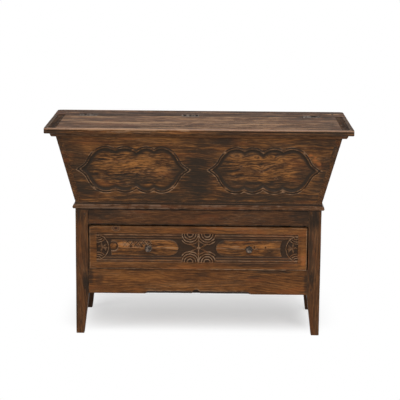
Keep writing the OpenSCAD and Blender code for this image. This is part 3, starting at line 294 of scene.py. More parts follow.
    colour.into(shader, "Base Color")
    frayed(f["rough"], (pore, 0.14), (patch, 0.30)).into(shader, "Roughness")
    shader.inputs["Specular IOR Level"].default_value = f["gloss"]
    dents = noiseAt(place, 9.0)
    height = pore * 0.45 + fleck * 0.9 + streak * 0.9 + late * -0.25 + dents * 1.2
    bump = height.node("ShaderNodeBump", {}, {"Strength": 0.7, "Distance": 0.0014, "Height": height})
    bump.into(shader, "Normal")
    return material


def makeIron(name, settings):
    material, start, shader = newMaterial(name)
    place = start.node("ShaderNodeTexCoord", {}, {}, "Object")
    blotch = noiseAt(place, 90.0, 4.0, 0.6)
    grit = noiseAt(place, 900.0, 3.0, 0.6)
    colour = start.node("ShaderNodeValToRGB", {"stops": settings["stops"]}, {0: frayed(blotch, (grit, 0.35))})
    x, y, z = place.parts()
    for px, py, wide, high in settings.get("spots", ()):
        spot = frayed(((x - px) / wide) ** 2.0 + ((y - py) / high) ** 2.0, (blotch, 2.0)).step(1.2, 0.4)
        colour = colour.over(rgb(0.008, 0.006, 0.005), spot * 0.9)
    colour.into(shader, "Base Color")
    frayed(settings["rough"], (grit, 0.3)).into(shader, "Roughness")
    shader.inputs["Metallic"].default_value = settings["metal"]
    shader.inputs["Specular IOR Level"].default_value = settings["gloss"]
    bump = start.node("ShaderNodeBump", {}, {"Strength": 0.5, "Distance": 0.0006, "Height": grit + blotch * 2.0})
    bump.into(shader, "Normal")
    return material


def paint(names, material):
    for name in names:
        nodes[name].data.materials.clear()
        nodes[name].data.materials.append(material)


# Mesh helpers

def meshOf(bm, name):
    mesh = bpy.data.meshes.new(name)
    bm.to_mesh(mesh)
    bm.free()
    return mesh


def linked(name, data):
    made = bpy.data.objects.new(name, data)
    bpy.context.scene.collection.objects.link(made)
    return made


def finishMesh(bm, name, body, material, stands, sharp=38.0):
    bm.normal_update()
    for face in bm.faces:
        face.smooth = True
    for edge in bm.edges:
        if len(edge.link_faces) == 2 and edge.calc_face_angle(0.0) > math.radians(sharp):
            edge.smooth = False
    piece = linked(name, meshOf(bm, name))
    piece.data.materials.append(material)
    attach(piece, body)
    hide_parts(*stands)


def faceOut(bm):
    bmesh.ops.recalc_face_normals(bm, faces=bm.faces)


def markLayers(bm):
    # Dirt with painted shade, and wear with painted highlights, kept at each vertex for the wood's colours
    return bm.verts.layers.float.new("hollow"), bm.verts.layers.float.new("crest")


def vertsOf(grown):
    return [g for g in grown["geom"] if isinstance(g, bmesh.types.BMVert)]


def edgesOf(grown):
    return [g for g in grown["geom"] if isinstance(g, bmesh.types.BMEdge)]


def sliceAt(bm, point, normal, near=1e-6, clear=False):
    bmesh.ops.bisect_plane(bm, geom=bm.verts[:] + bm.edges[:] + bm.faces[:], dist=near, plane_co=point,
                           plane_no=normal, clear_outer=clear)


def sliceAlong(bm, axis, low, high, pitch):
    count = max(1, int(round((high - low) / pitch)))
    normal = Vector((0, 0, 0))
    normal[axis] = 1
    for i in range(1, count):
        sliceAt(bm, normal * (low + (high - low) * i / count), normal)


def weather(bm, depth, seed, long=0, fine=26.0):
    # Wears the surface inwards by up to depth, in hollows drawn out along one axis
    bm.normal_update()
    moves = []
    for v in bm.verts:
        p = v.co.copy()
        p[long] *= 0.35
        n = noise.noise(p * fine + Vector((seed, seed * 1.7, 0.3))) + 0.5 * noise.noise(p * fine * 2.7)
        moves.append((v, -v.normal * depth * min(1.0, max(0.0, 0.5 + 0.7 * n))))
    for v, move in moves:
        v.co += move


def addBlock(bm, low, high):
    made = bmesh.ops.create_cube(bm, size=1.0)["verts"]
    bmesh.ops.scale(bm, vec=Vector(high) - Vector(low), verts=made)
    bmesh.ops.translate(bm, vec=(Vector(high) + Vector(low)) / 2, verts=made)
    return made


def addRod(bm, x, z, radius, y0, y1):
    turn = Matrix.Translation((x, (y0 + y1) / 2, z)) @ Matrix.Rotation(math.radians(90), 4, "X")
    bmesh.ops.create_cone(bm, cap_ends=True, segments=24, radius1=radius, radius2=radius, depth=y1 - y0, matrix=turn)


def arc(cx, cy, r, start, end, count):
    steps = [math.radians(start + (end - start) * i / count) for i in range(count + 1)]
    return [(cx + r * math.cos(a), cy + r * math.sin(a)) for a in steps]


def bow(a, b, c, count):
    return [tuple((1 - t) ** 2 * p + 2 * t * (1 - t) * q + t * t * r for p, q, r in zip(a, b, c))
            for t in (i / count for i in range(count))]


def prism(points, axis, low, high):
    # A closed profile in the plane across axis (0: Y and Z, 1: X and Z), drawn from low to high
    bm = bmesh.new()
    face = bm.faces.new([bm.verts.new((low, *p) if axis == 0 else (p[0], low, p[1])) for p in points])
    grown = bmesh.ops.extrude_face_region(bm, geom=[face])
    shift = Vector((0, 0, 0))
    shift[axis] = high - low
    bmesh.ops.translate(bm, vec=shift, verts=vertsOf(grown))
    faceOut(bm)
    return bm


# Sizes of the trough and the stand that several pieces share
trough = {
    "standHalfW": 532.5 * mm, "standHalfD": 228.5 * mm, "standTop": 560 * mm, "rimTop": 894 * mm,
    "footInX": 8.5 * mm, "footInY": 2 * mm, "endSplay": math.radians(15.4), "frontSplay": math.radians(4),
    "endThick": 26 * mm, "frontThick": 28 * mm, "floorTop": 580 * mm,
}
w = trough


def troughX(z):
    return w["standHalfW"] - w["footInX"] + (z - w["standTop"]) * math.tan(w["endSplay"])


def troughY(z):
    return w["standHalfD"] - w["footInY"] + (z - w["standTop"]) * math.tan(w["frontSplay"])


print("helpers ready")

# CAD nodes that keep their shape get round edges and their finish
kept = {
    "frame": ["front_top_rail", "left_top_rail", "left_bottom_rail", "right_top_rail", "right_bottom_rail"],
    "dark": ["left_panel", "right_panel", "back_top_rail", "back_bottom_rail", "trough_back_board",
             "joint_pegs"],
    "cleat": ["lid_left_cleat", "lid_right_cleat"],
    "lid": ["lid_front_plank", "lid_back_plank"],
    "trough": ["trough_left_end", "trough_right_end"],
    "inner": ["back_panel", "left_drawer_runner", "right_drawer_runner", "drawer_kickers", "drawer_stops",
              "trough_floor_front", "trough_floor_back", "drawer_left_side", "drawer_right_side",
              "drawer_back", "drawer_bottom"],
}
keptExtras = {
    "front_top_rail": {
        # The seam at z 0.4885 is painted shadow in the gap over the drawer; the seam at z 0.5600 and the long thin
        # patch at z 0.560 are painted shadow under the waist moulding's nose
        "lift": -0.03, "seams": [("z", 0.4885, 0.0060, 1.0), ("z", 0.5600, 0.0070, 0.88)],
        "stainsAndShadows": [(-0.43, 0.545, 0.10, 0.03, 0.70), (0.45, 0.54, 0.06, 0.05, 0.75),
                   (0.0, 0.560, 0.60, 0.007, 0.95)]},
    "lid_front_plank": {
        "wear": 0.2, "flat": True, "lively": [(0.14, -0.08, 0.60, 0.30, 0.55)],
        "glow": [(-0.446, -0.084, 0.12, 0.020, 0.30), (-0.307, -0.113, 0.14, 0.022, 0.30),
                 (0.134, -0.027, 0.06, 0.020, 0.45), (0.274, -0.132, 0.16, 0.018, 0.40),
                 (0.490, -0.061, 0.06, 0.022, 0.60)],
        "stainsAndShadows": [(0.575, -0.02, 0.03, 0.16, 0.55), (-0.20, -0.04, 0.14, 0.012, 0.5),
                   (0.30, -0.085, 0.20, 0.010, 0.6), (0.12, 0.075, 0.30, 0.010, 0.55),
                   (0.22, -0.195, 0.30, 0.012, 0.5), (-0.565, -0.15, 0.03, 0.05, 0.4),
                   (-0.24, -0.262, 0.17, 0.016, 0.85), (0.00, -0.264, 0.12, 0.012, 0.6),
                   (0.55, -0.262, 0.08, 0.016, 0.85)]},
    # The seams at y 0.131 and 0.130 are a dark band along the hinge line: painted shade in the joint, with dirt
    "lid_back_plank": {
        "wear": 0.0, "flat": True, "seams": [("y", 0.131, 0.022, 0.86)], "stainsAndShadows": [(0.575, 0.08, 0.03, 0.08, 0.5)],
        "glow": [(-0.078, 0.098, 0.10, 0.018, 0.30), (0.13, 0.06, 0.10, 0.014, 0.25)]},
    "back_rail": {
        "wear": 0.2, "lift": -0.20, "flat": True, "seams": [("y", 0.130, 0.012, 0.86)],
        "glow": [(0.609, 0.206, 0.04, 0.03, 0.4)]},
    **{name: {"wear": 0.1} for name in kept["cleat"]},
    **{name: {"lift": -0.14, "wear": 0.15} for name in kept["trough"]},
}


def grainOf(name):
    # Pieces at the two ends run from front to back, but their panels stand upright
    atEnd = "left" in name or "right" in name
    if atEnd and "panel" in name:
        return "z"
    return "y" if atEnd or name in ("joint_pegs", "drawer_kickers") else "x"


def dress(name, finish, width=0.9 * mm):
    seed = sum(ord(c) for c in name) * 0.173
    shift = (seed, seed * 0.41 % 1.0, seed * 0.29 % 1.0)
    paint([name], makeWood(name + "Wood", finish, grainOf(name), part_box(name), shift, **keptExtras.get(name, {})))
    weld = nodes[name].modifiers.new("weld", "WELD")
    weld.merge_threshold = 0.02 * mm
    rounded = nodes[name].modifiers.new("edges", "BEVEL")
    rounded.width = width
    rounded.segments = 2
    rounded.limit_method = "ANGLE"
    rounded.angle_limit = math.radians(32)
    rounded.use_clamp_overlap = True


for finish, names in kept.items():
    for name in names:
        dress(name, finish)
print("kept boards finished")

# Ironwork; spots are dark places on the hinges, as (x, y, half width, half depth)
irons = {
    "oldIron": {
        "nodes": ["left_knob", "right_knob", "knob_roses", "knob_nuts"], "rough": 0.52, "metal": 0.06, "gloss": 0.30,
        "stops": [(0.38, (0.010, 0.007, 0.005)), (0.52, (0.040, 0.027, 0.019)), (0.64, (0.13, 0.092, 0.066)),
                  (0.76, (0.24, 0.175, 0.125))]},
    "hingeIron": {
        "nodes": ["rail_hinge_leaves", "lid_hinge_leaves", "hinge_pins"], "rough": 0.80, "metal": 0.04, "gloss": 0.08,
        "stops": [(0.36, (0.016, 0.012, 0.010)), (0.50, (0.082, 0.066, 0.056)), (0.68, (0.175, 0.148, 0.126))],
        "spots": [(-0.520, 0.144, 0.015, 0.026), (-0.487, 0.146, 0.013, 0.022), (0.513, 0.139, 0.022, 0.024),
                  (-0.068, 0.138, 0.009, 0.022), (-0.043, 0.139, 0.009, 0.022), (-0.014, 0.137, 0.009, 0.020)]},
    "nailIron": {
        "nodes": ["trough_nails", "floor_nails", "back_rail_nails", "rail_hinge_nails", "lid_nails"],
        "rough": 0.7, "metal": 0.1, "gloss": 0.2,
        "stops": [(0.30, (0.014, 0.010, 0.008)), (0.70, (0.060, 0.042, 0.032))]},
}
for name, settings in irons.items():
    paint(settings["nodes"], makeIron(name, settings))

# Legs
legs = {"side": 57 * mm, "foot": 35 * mm, "taperTop": 183 * mm, "top": 560 * mm, "edge": 2.6 * mm, "wear": 0.5 * mm,
        "pitch": 22 * mm, "seamX": 0.4753}
# The long thin patch at z 0.558 on each front leg is painted shadow under the waist moulding's nose
legStainsAndShadows = {
    "left": [(-0.488, 0.23, 0.018, 0.055, 0.9), (-0.525, 0.53, 0.03, 0.045, 0.7),
             (-0.535, 0.12, 0.012, 0.12, 0.6), (-0.505, 0.558, 0.05, 0.006, 0.95)],
    "right": [(0.492, 0.26, 0.020, 0.045, 0.85), (0.500, 0.52, 0.030, 0.055, 0.9),
              (0.488, 0.38, 0.010, 0.10, 0.7), (0.505, 0.558, 0.05, 0.006, 0.95)],
}


def makeLeg(name, sx, sy, seed, stainsAndShadows, lift):
    bm = bmesh.new()
    addBlock(bm, (0, 0, 0), (legs["side"], legs["side"], legs["top"]))
    sliceAt(bm, (0, 0, legs["taperTop"]), (0, 0, 1))
    for v in bm.verts:
        if v.co.z < 0.5 * mm:
            v.co.x = min(v.co.x, legs["foot"])
            v.co.y = min(v.co.y, legs["foot"])
    bm.normal_update()
    corners = [e for e in bm.edges if e.calc_face_angle(0.0) > math.radians(60)]
    bmesh.ops.bevel(bm, geom=corners, offset=legs["edge"], offset_type="OFFSET", segments=3, profile=0.5,
                    affect="EDGES", clamp_overlap=True, material=-1)
    sliceAlong(bm, 2, 0.0, legs["top"], legs["pitch"])
    weather(bm, legs["wear"], seed, 2)
    bmesh.ops.translate(bm, vec=(-w["standHalfW"], -w["standHalfD"], 0), verts=bm.verts)
    bmesh.ops.scale(bm, vec=(sx, sy, 1), verts=bm.verts)
    faceOut(bm)
    low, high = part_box(name)
    # The seam is painted shadow along the leg's inner edge, at the gap beside the drawer
    wood = makeWood(name + "Wood", "frame", "z", (low, high), (seed, 0.11 * seed, 0.07 * seed),
                    (0.5 * (low[0] + high[0]) + 0.02, 0.2 * sy), stainsAndShadows=stainsAndShadows, wear=0.6, lift=lift,
                    seams=[("x", -legs["seamX"] * sx, 0.0042, 0.9)])
    finishMesh(bm, name + "Shaped", "stand", wood, [name])


makeLeg("front_left_leg", 1, 1, 1.3, legStainsAndShadows["left"], 0.02)
makeLeg("front_right_leg", -1, 1, 2.1, legStainsAndShadows["right"], -0.03)
makeLeg("back_left_leg", 1, -1, 3.7, (), -0.15)
makeLeg("back_right_leg", -1, -1, 4.9, (), -0.15)
print("legs made")

# Mouldings; marks are the height in mm above the foot at z, the darkness, painted shade with dirt, and the wear, with
# painted highlights
waist = {"high": 30 * mm, "out": 11.5 * mm, "pitch": 14 * mm, "wear": 0.9 * mm, "z": 560.0, "body": "stand",
         "slot": "carcass_walnut", "corner": (w["standHalfW"], w["standHalfD"]),
         "marks": [(0, 0.95, 0.0), (2.0, 0.1, 0.5), (4.5, 0.0, 1.0), (7.5, 0.0, 0.6), (10, 0.1, 0.1),
                   (13, 0.1, 0.25), (15.5, 0.0, 0.9), (18.5, 0.0, 0.8), (20.5, 0.7, 0.0), (23, 1.0, 0.0),
                   (27, 0.95, 0.0), (28.5, 0.3, 0.1), (30, 0.1, 0.2)]}
rim = {"high": 16 * mm, "out": 21 * mm, "pitch": 18 * mm, "wear": 0.7 * mm, "z": 878.0, "body": "stand",
       "slot": "dark_walnut", "corner": (troughX(w["rimTop"]), troughY(w["rimTop"])),
       "marks": [(0, 0.5, 0.0), (5, 0.1, 0.0), (12, 0.0, 0.4), (13.5, 0.5, 0.0), (16, 0.6, 0.0)]}
lidHalf = (troughX(0.894) + 44 * mm, troughY(0.894) + 46.5 * mm)
lidEdge = {"wide": 18 * mm, "thick": 24 * mm, "gap": 0.3 * mm, "pitch": 12 * mm, "wear": 0.45 * mm, "tip": 8 * mm,
           "z": 894.0, "body": "lid", "slot": "lid_walnut",
           "marks": [(0, 0.9, 0.0), (5, 0.5, 0.0), (9, 0.25, 0.0), (13.0, 0.45, 0.0), (14.6, 1.0, 0.0),
                     (17.8, 0.9, 0.0), (19.4, 0.3, 0.3), (20.8, 0.0, 1.0), (23.4, 0.0, 1.0), (24, 0.0, 0.6)],
           "fade": ((-0.62, 1.0), (-0.50, 0.45), (-0.05, 0.40), (0.20, 1.0))}
lidEdge["corner"] = (lidHalf[0] - lidEdge["wide"], lidHalf[1] - lidEdge["wide"])
lidSide = dict(lidEdge, fade=((0.0, 1.0),), marks=[(0, 0.9, 0.0), (8, 0.5, 0.0), (14, 0.9, 0.0), (17, 0.2, 0.4),
                                                  (22, 0.0, 0.5), (24, 0.2, 0.15)])
lidMarks = {
    "even": 0.75, "crestColour": (0.230, 0.134, 0.083),
    "pale": [(-0.40, 0.916, 0.14, 0.006, 0.8), (-0.22, 0.914, 0.10, 0.005, 0.8), (-0.30, 0.906, 0.10, 0.003, 0.6),
             (-0.07, 0.914, 0.03, 0.006, 0.8)],
    "stainsAndShadows": [(0.13, 0.897, 0.25, 0.006, 0.7), (-0.62, 0.90, 0.05, 0.02, 0.7), (0.60, 0.90, 0.07, 0.02, 0.7)],
}


def waistProfile(inner, face):
    # Distance out and height: a round nose, a fillet and a hollow
    h, r, z = waist["high"], waist["high"] * 0.27, w["standTop"]
    step, fillet, top = waist["out"] - r, waist["out"] - waist["high"] * 0.32, 1.2 * mm
    curve = (arc(step, r, r, -90, 70, 14) + [(step, h * 0.56), (fillet, h * 0.6)]
             + bow((fillet, h * 0.6), (top, h * 0.64), (top, h), 12) + [(top, h)])
    return [(-inner(z), z)] + [(-face - p[0], z + p[1]) for p in curve] + [(-inner(z + h), z + h)]


def rimProfile(inner):
    z = w["rimTop"] - rim["high"]
    lip = rim["high"] - 3 * mm
    curve = ([(1.5 * mm, 0)] + arc(1.5 * mm, lip, rim["out"] - 3.5 * mm, -75, 0, 14)
             + [(rim["out"], lip), (rim["out"], rim["high"])])
    return [(-inner(z), z)] + [(-inner(z + p[1]) - p[0], z + max(0.0, p[1])) for p in curve] + [
        (-inner(w["rimTop"]), w["rimTop"])]


def lidProfile(inner):
    # A round upper lip over a quirk and a face that rounds away below
    wide, t = lidEdge["wide"], lidEdge["thick"]
    r = t * 0.20
    curve = ([(0, 0)] + arc(wide - 9 * mm, 8 * mm, 8 * mm, -80, 0, 7)
             + [(wide - 1 * mm, t - 2 * r - 1.5 * mm), (wide - 2.6 * mm, t - 2 * r)]
             + arc(wide - r, t - r, r, -45, 90, 12) + [(wide - 2 * r, t), (0, t)])
    return [(-inner - p[0], w["rimTop"] + max(p[1], lidEdge["gap"])) for p in curve]


def roundTips(bm, cornerX, cornerY, r):
    # Wears the two front corners round, seen from above
    for v in bm.verts:
        sign = -1 if v.co.x < 0 else 1
        out = Vector((abs(v.co.x) - cornerX + r, -v.co.y - cornerY + r))
        if out.x > 0 and out.y > 0 and out.length > r:
            out *= r / out.length
            v.co.x, v.co.y = sign * (cornerX - r + out.x), -(cornerY - r + out.y)


def makeRun(group, side, profile, finish, seed, shape, backY=0.0, **extras):
    # A moulding along the front or the left side, mitred at the front corners; the right one is mirrored
    axis = 0 if side == "front" else 1
    cornerX, cornerY = shape["corner"]
    reach = shape["corner"][axis] + 0.1
    end = reach if axis == 0 else backY
    bm = prism(profile, axis, -reach, end)
    sliceAlong(bm, axis, -reach, end, shape["pitch"])
    for sign in (-1, 1)[:2 - axis]:
        sliceAt(bm, (sign * cornerX, -cornerY, 0), (sign, 1 - 2 * axis, 0), 1e-7, True)
    bmesh.ops.holes_fill(bm, edges=[e for e in bm.edges if e.is_boundary], sides=0)
    faceOut(bm)
    if "tip" in shape:
        roundTips(bm, cornerX + shape["wide"], cornerY + shape["wide"], shape["tip"])
    weather(bm, shape["wear"], seed, axis, 34.0)
    if side == "right":
        bmesh.ops.scale(bm, vec=(-1, 1, 1), verts=bm.verts)
        bmesh.ops.reverse_faces(bm, faces=bm.faces)
    name = group + "_moulding_" + side
    node = "lid_" + side + "_moulding" if group == "lid" else name
    heights, shade, wearAndHighlight = zip(*shape["marks"])
    fade = shape.get("fade", ((0.0, 1.0),))
    hollow, crest = markLayers(bm)
    for v in bm.verts:
        up = v.co.z / mm - shape["z"]
        v[hollow] = float(np.interp(up, heights, shade) * np.interp(v.co.x, *zip(*fade)))
        v[crest] = float(np.interp(up, heights, wearAndHighlight))
    wood = makeWood(name + "Wood", finish, "x" if axis == 0 else "y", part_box(node),
                    (seed, seed * 0.31, seed * 0.17), wear=0.8, hollow=True, **extras)
    finishMesh(bm, name + "_run", shape["body"], wood, [node], 28.0)


makeRun("waist", "front", waistProfile(troughY, w["standHalfD"]), "frame", 1.9, waist,
        crestColour=(0.165, 0.100, 0.064))
for side in ("left", "right"):
    makeRun("waist", side, waistProfile(troughX, w["standHalfW"]), "frame", 2.7, waist, w["standHalfD"],
            crestColour=(0.150, 0.105, 0.075))
makeRun("rim", "front", rimProfile(troughY), "frame", 3.3, rim, lift=0.08)
for side in ("left", "right"):
    makeRun("rim", side, rimProfile(troughX), "dark", 4.1, rim, rim["corner"][1])
makeRun("lid", "front", lidProfile(lidEdge["corner"][1]), "trough", 5.3, lidEdge, **lidMarks)
for side in ("left", "right"):
    makeRun("lid", side, lidProfile(lidEdge["corner"][0]), "dark", 6.1, lidSide, lidHalf[1] - 166.5 * mm)
dress("back_rail", "lid", 1.2 * mm)
print("mouldings made")

# Front board of the trough with its two sunk cartouches
cartouche = {
    "x": 281 * mm, "rise": 174 * mm, "halfL": 250 * mm, "halfH": 104 * mm, "lean": (13 * mm, -4 * mm),
    # a quarter of the outline in mm, each curve by its ends and the point that pulls it
    "curves": [((0, 88), (40, 117), (83, 95)), ((83, 95), (127, 118), (170, 86)),
               ((170, 86), (190, 67), (203, 38)), ((203, 38), (212, 20), (250, 0))],
    # each step: distance in from the outline, depth, darkness, which is painted shade with dirt, and wear, with
    # painted highlights
    "steps": [(0.0, 0.0, 0.0, 0.9), (1.0, -0.9, 0.1, 0.7), (2.4, -2.8, 0.95, 0.0), (5.6, -3.0, 1.0, 0.0),
              (7.4, -1.5, 0.7, 0.0), (8.7, -0.9, 0.3, 0.5), (10.2, -0.9, 0.3, 0.35), (11.6, -1.8, 0.8, 0.0),
              (13.4, -3.6, 0.9, 0.0), (15.6, -5.6, 1.0, 0.0), (18.0, -7.0, 1.0, 0.0), (21.0, -7.4, 0.92, 0.0),
              (25.0, -7.1, 0.70, 0.0), (31.0, -7.0, 0.40, 0.0), (38.0, -7.0, 0.15, 0.0)],
    # cusps, where the shade is lessened and the crests are painted light, as wear and highlights, as far in as the
    # inner line
    "cusps": ((0, 82), (83, 89), (170, 80)), "cuspReach": 9 * mm, "cuspIn": 12.5,
}
boardMarks = {
    "stainsAndShadows": [(-0.012, 0.70, 0.085, 0.15, 0.97), (0.105, 0.866, 0.060, 0.030, 0.85), (0.01, 0.86, 0.09, 0.022, 0.6),
               (-0.485, 0.733, 0.055, 0.060, 0.72), (-0.080, 0.735, 0.055, 0.070, 0.75),
               (0.100, 0.735, 0.055, 0.065, 0.72), (0.462, 0.737, 0.060, 0.055, 0.75),
               (-0.500, 0.645, 0.085, 0.045, 0.92), (-0.530, 0.705, 0.035, 0.050, 0.6),
               (0.550, 0.690, 0.040, 0.085, 0.9), (0.530, 0.655, 0.060, 0.050, 0.7), (0.30, 0.615, 0.30, 0.024, 0.85),
               (-0.12, 0.612, 0.24, 0.024, 0.85), (-0.28, 0.692, 0.20, 0.020, 0.72), (0.50, 0.862, 0.12, 0.020, 0.6),
               (-0.52, 0.80, 0.03, 0.07, 0.5), (0.28, 0.678, 0.17, 0.016, 0.75), (0.56, 0.60, 0.06, 0.03, 0.6),
               (0.0, 0.591, 0.60, 0.006, 0.95), (0.340, 0.700, 0.022, 0.012, 0.7), (0.04, 0.790, 0.05, 0.05, 0.5),
               (-0.57, 0.84, 0.03, 0.06, 0.5)],
    "knots": [(0.270, 0.729, 0.0070), (0.182, 0.751, 0.0060), (0.333, 0.699, 0.0055)],
    "swirls": [(0.164, 0.793, 0.024, 0.010, 0.022), (0.248, 0.795, 0.020, 0.009, -0.020),
               (0.318, 0.792, 0.026, 0.009, 0.022), (0.352, 0.786, 0.018, 0.009, -0.016),
               (0.268, 0.748, 0.014, 0.010, 0.009), (-0.27, 0.80, 0.10, 0.03, 0.010),
               (0.300, 0.715, 0.040, 0.018, 0.008)],
    "embers": [(0.497, 0.782, 0.014, 0.020, 0.85), (0.513, 0.770, 0.012, 0.012, 0.6),
               (0.478, 0.803, 0.010, 0.012, 0.6), (-0.02, 0.868, 0.02, 0.01, 0.25), (-0.30, 0.870, 0.05, 0.006, 0.3)],
    "pale": [(0.36, 0.795, 0.03, 0.006, 0.2)],
    "lively": [(-0.283, 0.744, 0.20, 0.085, 0.95), (0.280, 0.744, 0.20, 0.085, 0.80),
               (-0.283, 0.690, 0.15, 0.030, 0.4)],
    "glow": [(-0.300, 0.757, 0.130, 0.034, 0.18), (-0.283, 0.757, 0.020, 0.010, 0.40),
             (-0.478, 0.836, 0.060, 0.035, 0.20), (0.500, 0.788, 0.030, 0.024, 0.25),
             (0.24, 0.788, 0.14, 0.022, 0.24), (0.27, 0.735, 0.10, 0.02, 0.18), (-0.15, 0.864, 0.14, 0.020, 0.20),
             (-0.30, 0.88, 0.20, 0.016, 0.18), (0.34, 0.872, 0.14, 0.014, 0.12)],
}


def cartoucheOutline(lean, count=9):
    kx, ky = cartouche["halfL"] / 250, cartouche["halfH"] / 104
    quarter = [(p[0] * kx, p[1] * ky) for c in cartouche["curves"] for p in bow(*c, count)]
    top = quarter + [(cartouche["halfL"], 0)] + [(x, -y) for x, y in reversed(quarter)]
    whole = top + [(-x, y) for x, y in reversed(top[1:-1])]
    return [(x + lean * max(0.0, 1 - (x / 0.15) ** 2) ** 2, y) for x, y in whole]


def ringInwards(outline, inset):
    # The outline moved in by inset, its cusps mitred and its two tips kept on the long axis
    count = len(outline)
    moved = []
    for i, point in enumerate(outline):
        here = Vector(point)
        ahead = (Vector(outline[(i + 1) % count]) - here).normalized()
        behind = (here - Vector(outline[i - 1])).normalized()
        normal = Vector((ahead.y + behind.y, -ahead.x - behind.x))
        normal = normal.normalized() / max(0.35, normal.length / 2)
        spot = here + normal * inset
        if here.y * spot.y < 0 or abs(here.y) < 1e-6 and abs(here.x) > 1:
            spot.y = 0.0
        moved.append(spot)
    if inset < 0:
        return moved
    tip = {}
    for sign in (-1, 1):
        ends = [p.x for q, p in zip(outline, moved) if p.y == 0.0 and q[0] * sign > 0]
        straight = [p.x * sign for p in moved if p.x * sign > 0 and abs(p.y) > 1e-9]
        tip[sign] = sign * max(straight) if ends else None
    for point, spot in zip(outline, moved):
        if spot.y == 0.0:
            spot.x = tip[1 if point[0] > 0 else -1]
    return moved


def makeFrontBoard():
    bm = bmesh.new()
    hollow, crest = markLayers(bm)
    order = bm.verts.layers.int.new("order")
    c = cartouche
    zLow, zHigh, zMid = w["floorTop"], w["rimTop"], w["standTop"] + c["rise"]
    slope = 1 / math.cos(w["frontSplay"])
    low, high = (zLow - zMid) * slope, (zHigh - zMid) * slope
    edges, rings = [], []
    outlines = [cartoucheOutline(lean) for lean in c["lean"]]
    rim0, rim1 = troughX(zLow) - w["endThick"], troughX(zHigh) - w["endThick"]
    loops = [[(-rim0, low), (rim0, low), (rim1, high), (-rim1, high)]]
    for sign, outline in zip((-1, 1), outlines):
        loops.append([(p.x + sign * c["x"], p.y) for p in ringInwards(outline, -2.0 * mm)])
    for k, loop in enumerate(loops):
        verts = [bm.verts.new((x, y, 0)) for x, y in loop]
        ring = [bm.edges.new((a, b)) for a, b in zip(verts, verts[1:] + verts[:1])]
        for i, v in enumerate(verts):
            v[order] = i
        edges += ring
        if k:
            rings.append((ring, outlines[k - 1], (2 * k - 3) * c["x"]))
    bmesh.ops.triangle_fill(bm, use_beauty=True, use_dissolve=False, edges=edges, normal=(0, 0, 1))
    for ring, outline, middle in rings:
        for inset, depth, shade, wearAndHighlight in c["steps"]:
            grown = bmesh.ops.extrude_edge_only(bm, edges=ring)
            ring = [g for g in edgesOf(grown) if g.is_boundary]
            moved = ringInwards(outline, inset * mm)
            for v in vertsOf(grown):
                spot = moved[v[order]]
                v.co = (spot.x + middle, spot.y, depth * mm)
                near = max(math.exp(-((abs(spot.x) - px * mm) ** 2 + (abs(spot.y) - pz * mm) ** 2)
                                    / c["cuspReach"] ** 2) for px, pz in c["cusps"])
                v[hollow] = shade * (1 - 0.7 * near)
                v[crest] = max(wearAndHighlight, near if inset < c["cuspIn"] else 0.0)
        bmesh.ops.contextual_create(bm, geom=ring)
    bmesh.ops.remove_doubles(bm, verts=bm.verts, dist=0.05 * mm)
    bm.normal_update()
    grown = bmesh.ops.extrude_edge_only(bm, edges=[e for e in bm.edges if e.is_boundary])
    behind = vertsOf(grown)
    thick = w["frontThick"] * math.cos(w["frontSplay"])
    bmesh.ops.translate(bm, vec=(0, 0, -thick), verts=behind)
    bmesh.ops.contextual_create(bm, geom=edgesOf(grown))
    # The board's upper and lower edges are level, not square to its face
    for v in behind:
        v.co.y -= thick * math.tan(w["frontSplay"])
        v.co.y = max(v.co.y, low - 0.002) if v.co.y < 0 else v.co.y
    faceOut(bm)
    turn = Matrix.Rotation(math.radians(90) + w["frontSplay"], 4, "X")
    bmesh.ops.transform(bm, matrix=Matrix.Translation((0, -troughY(zMid), zMid)) @ turn, verts=bm.verts)
    wood = makeWood("cartoucheWood", "trough", "x", ((-2, -2, zLow), (2, 2, zHigh)), (0.37, 0.0, 0.0),
                    (0.74, -0.06), hollow=True, wear=0.6, **boardMarks)
    finishMesh(bm, "cartouche_board", "stand", wood, ["trough_front_board"], 50.0)


makeFrontBoard()
print("front board carved")

# Drawer front with its carved panel; the sizes of its face are in mm
drawer = {
    "halfW": 471.5, "halfH": 94.75, "z0": 294.5 * mm, "z1": 484 * mm, "face": -234.5 * mm, "thick": 24 * mm,
    "panelW": 437.0, "panelH": 64.25, "panelX": -4.0, "ground": -6.0, "fieldIn": 80.0, "fieldOut": 366.0,
    "fieldH": 37.0, "blockIn": 74.0, "blockX": 6.0, "roseR": 60.0, "knobX": (-216, 221), "knobDrop": 3.0,
    "holeX": (-291.5, -244.5, 244.5, 291.5), "holeRise": 5.5, "shankR": 3.05 * mm, "holeR": 2.6 * mm,
    "sideThick": 14 * mm, "tail": 16 * mm, "tails": 3, "tailHigh": 40 * mm, "flare": 5 * mm,
    "sideZ0": 293.3 * mm, "sideHigh": 186.7 * mm, "groove": (304.3 * mm, 314.3 * mm), "grooveDeep": 6 * mm,
    "over": 2 * mm, "past": 5 * mm,  # how far a cut reaches out of the board
    # the grid's columns and rows, as (from, to, spacing)
    "columns": [(-471.5, -465.5, 1.5), (-465.5, -444, 7), (-444, -345, 1.2), (-345, -325, 3.0),
                (-325, -192, 1.5), (-192, -110, 4.0), (-110, -74, 2.0), (-74, 80, 1.2), (80, 110, 2.0),
                (110, 195, 4.0), (195, 242, 2.0), (242, 330, 4.0), (330, 435, 1.2), (435, 465.5, 7),
                (465.5, 471.5, 1.5)],
    "rows": [(-94.75, -88.75, 1.5), (-88.75, -66, 6), (-66, -34, 1.0), (-34, 34, 1.3), (34, 66, 1.0),
             (66, 88.75, 6), (88.75, 94.75, 1.5)],
}
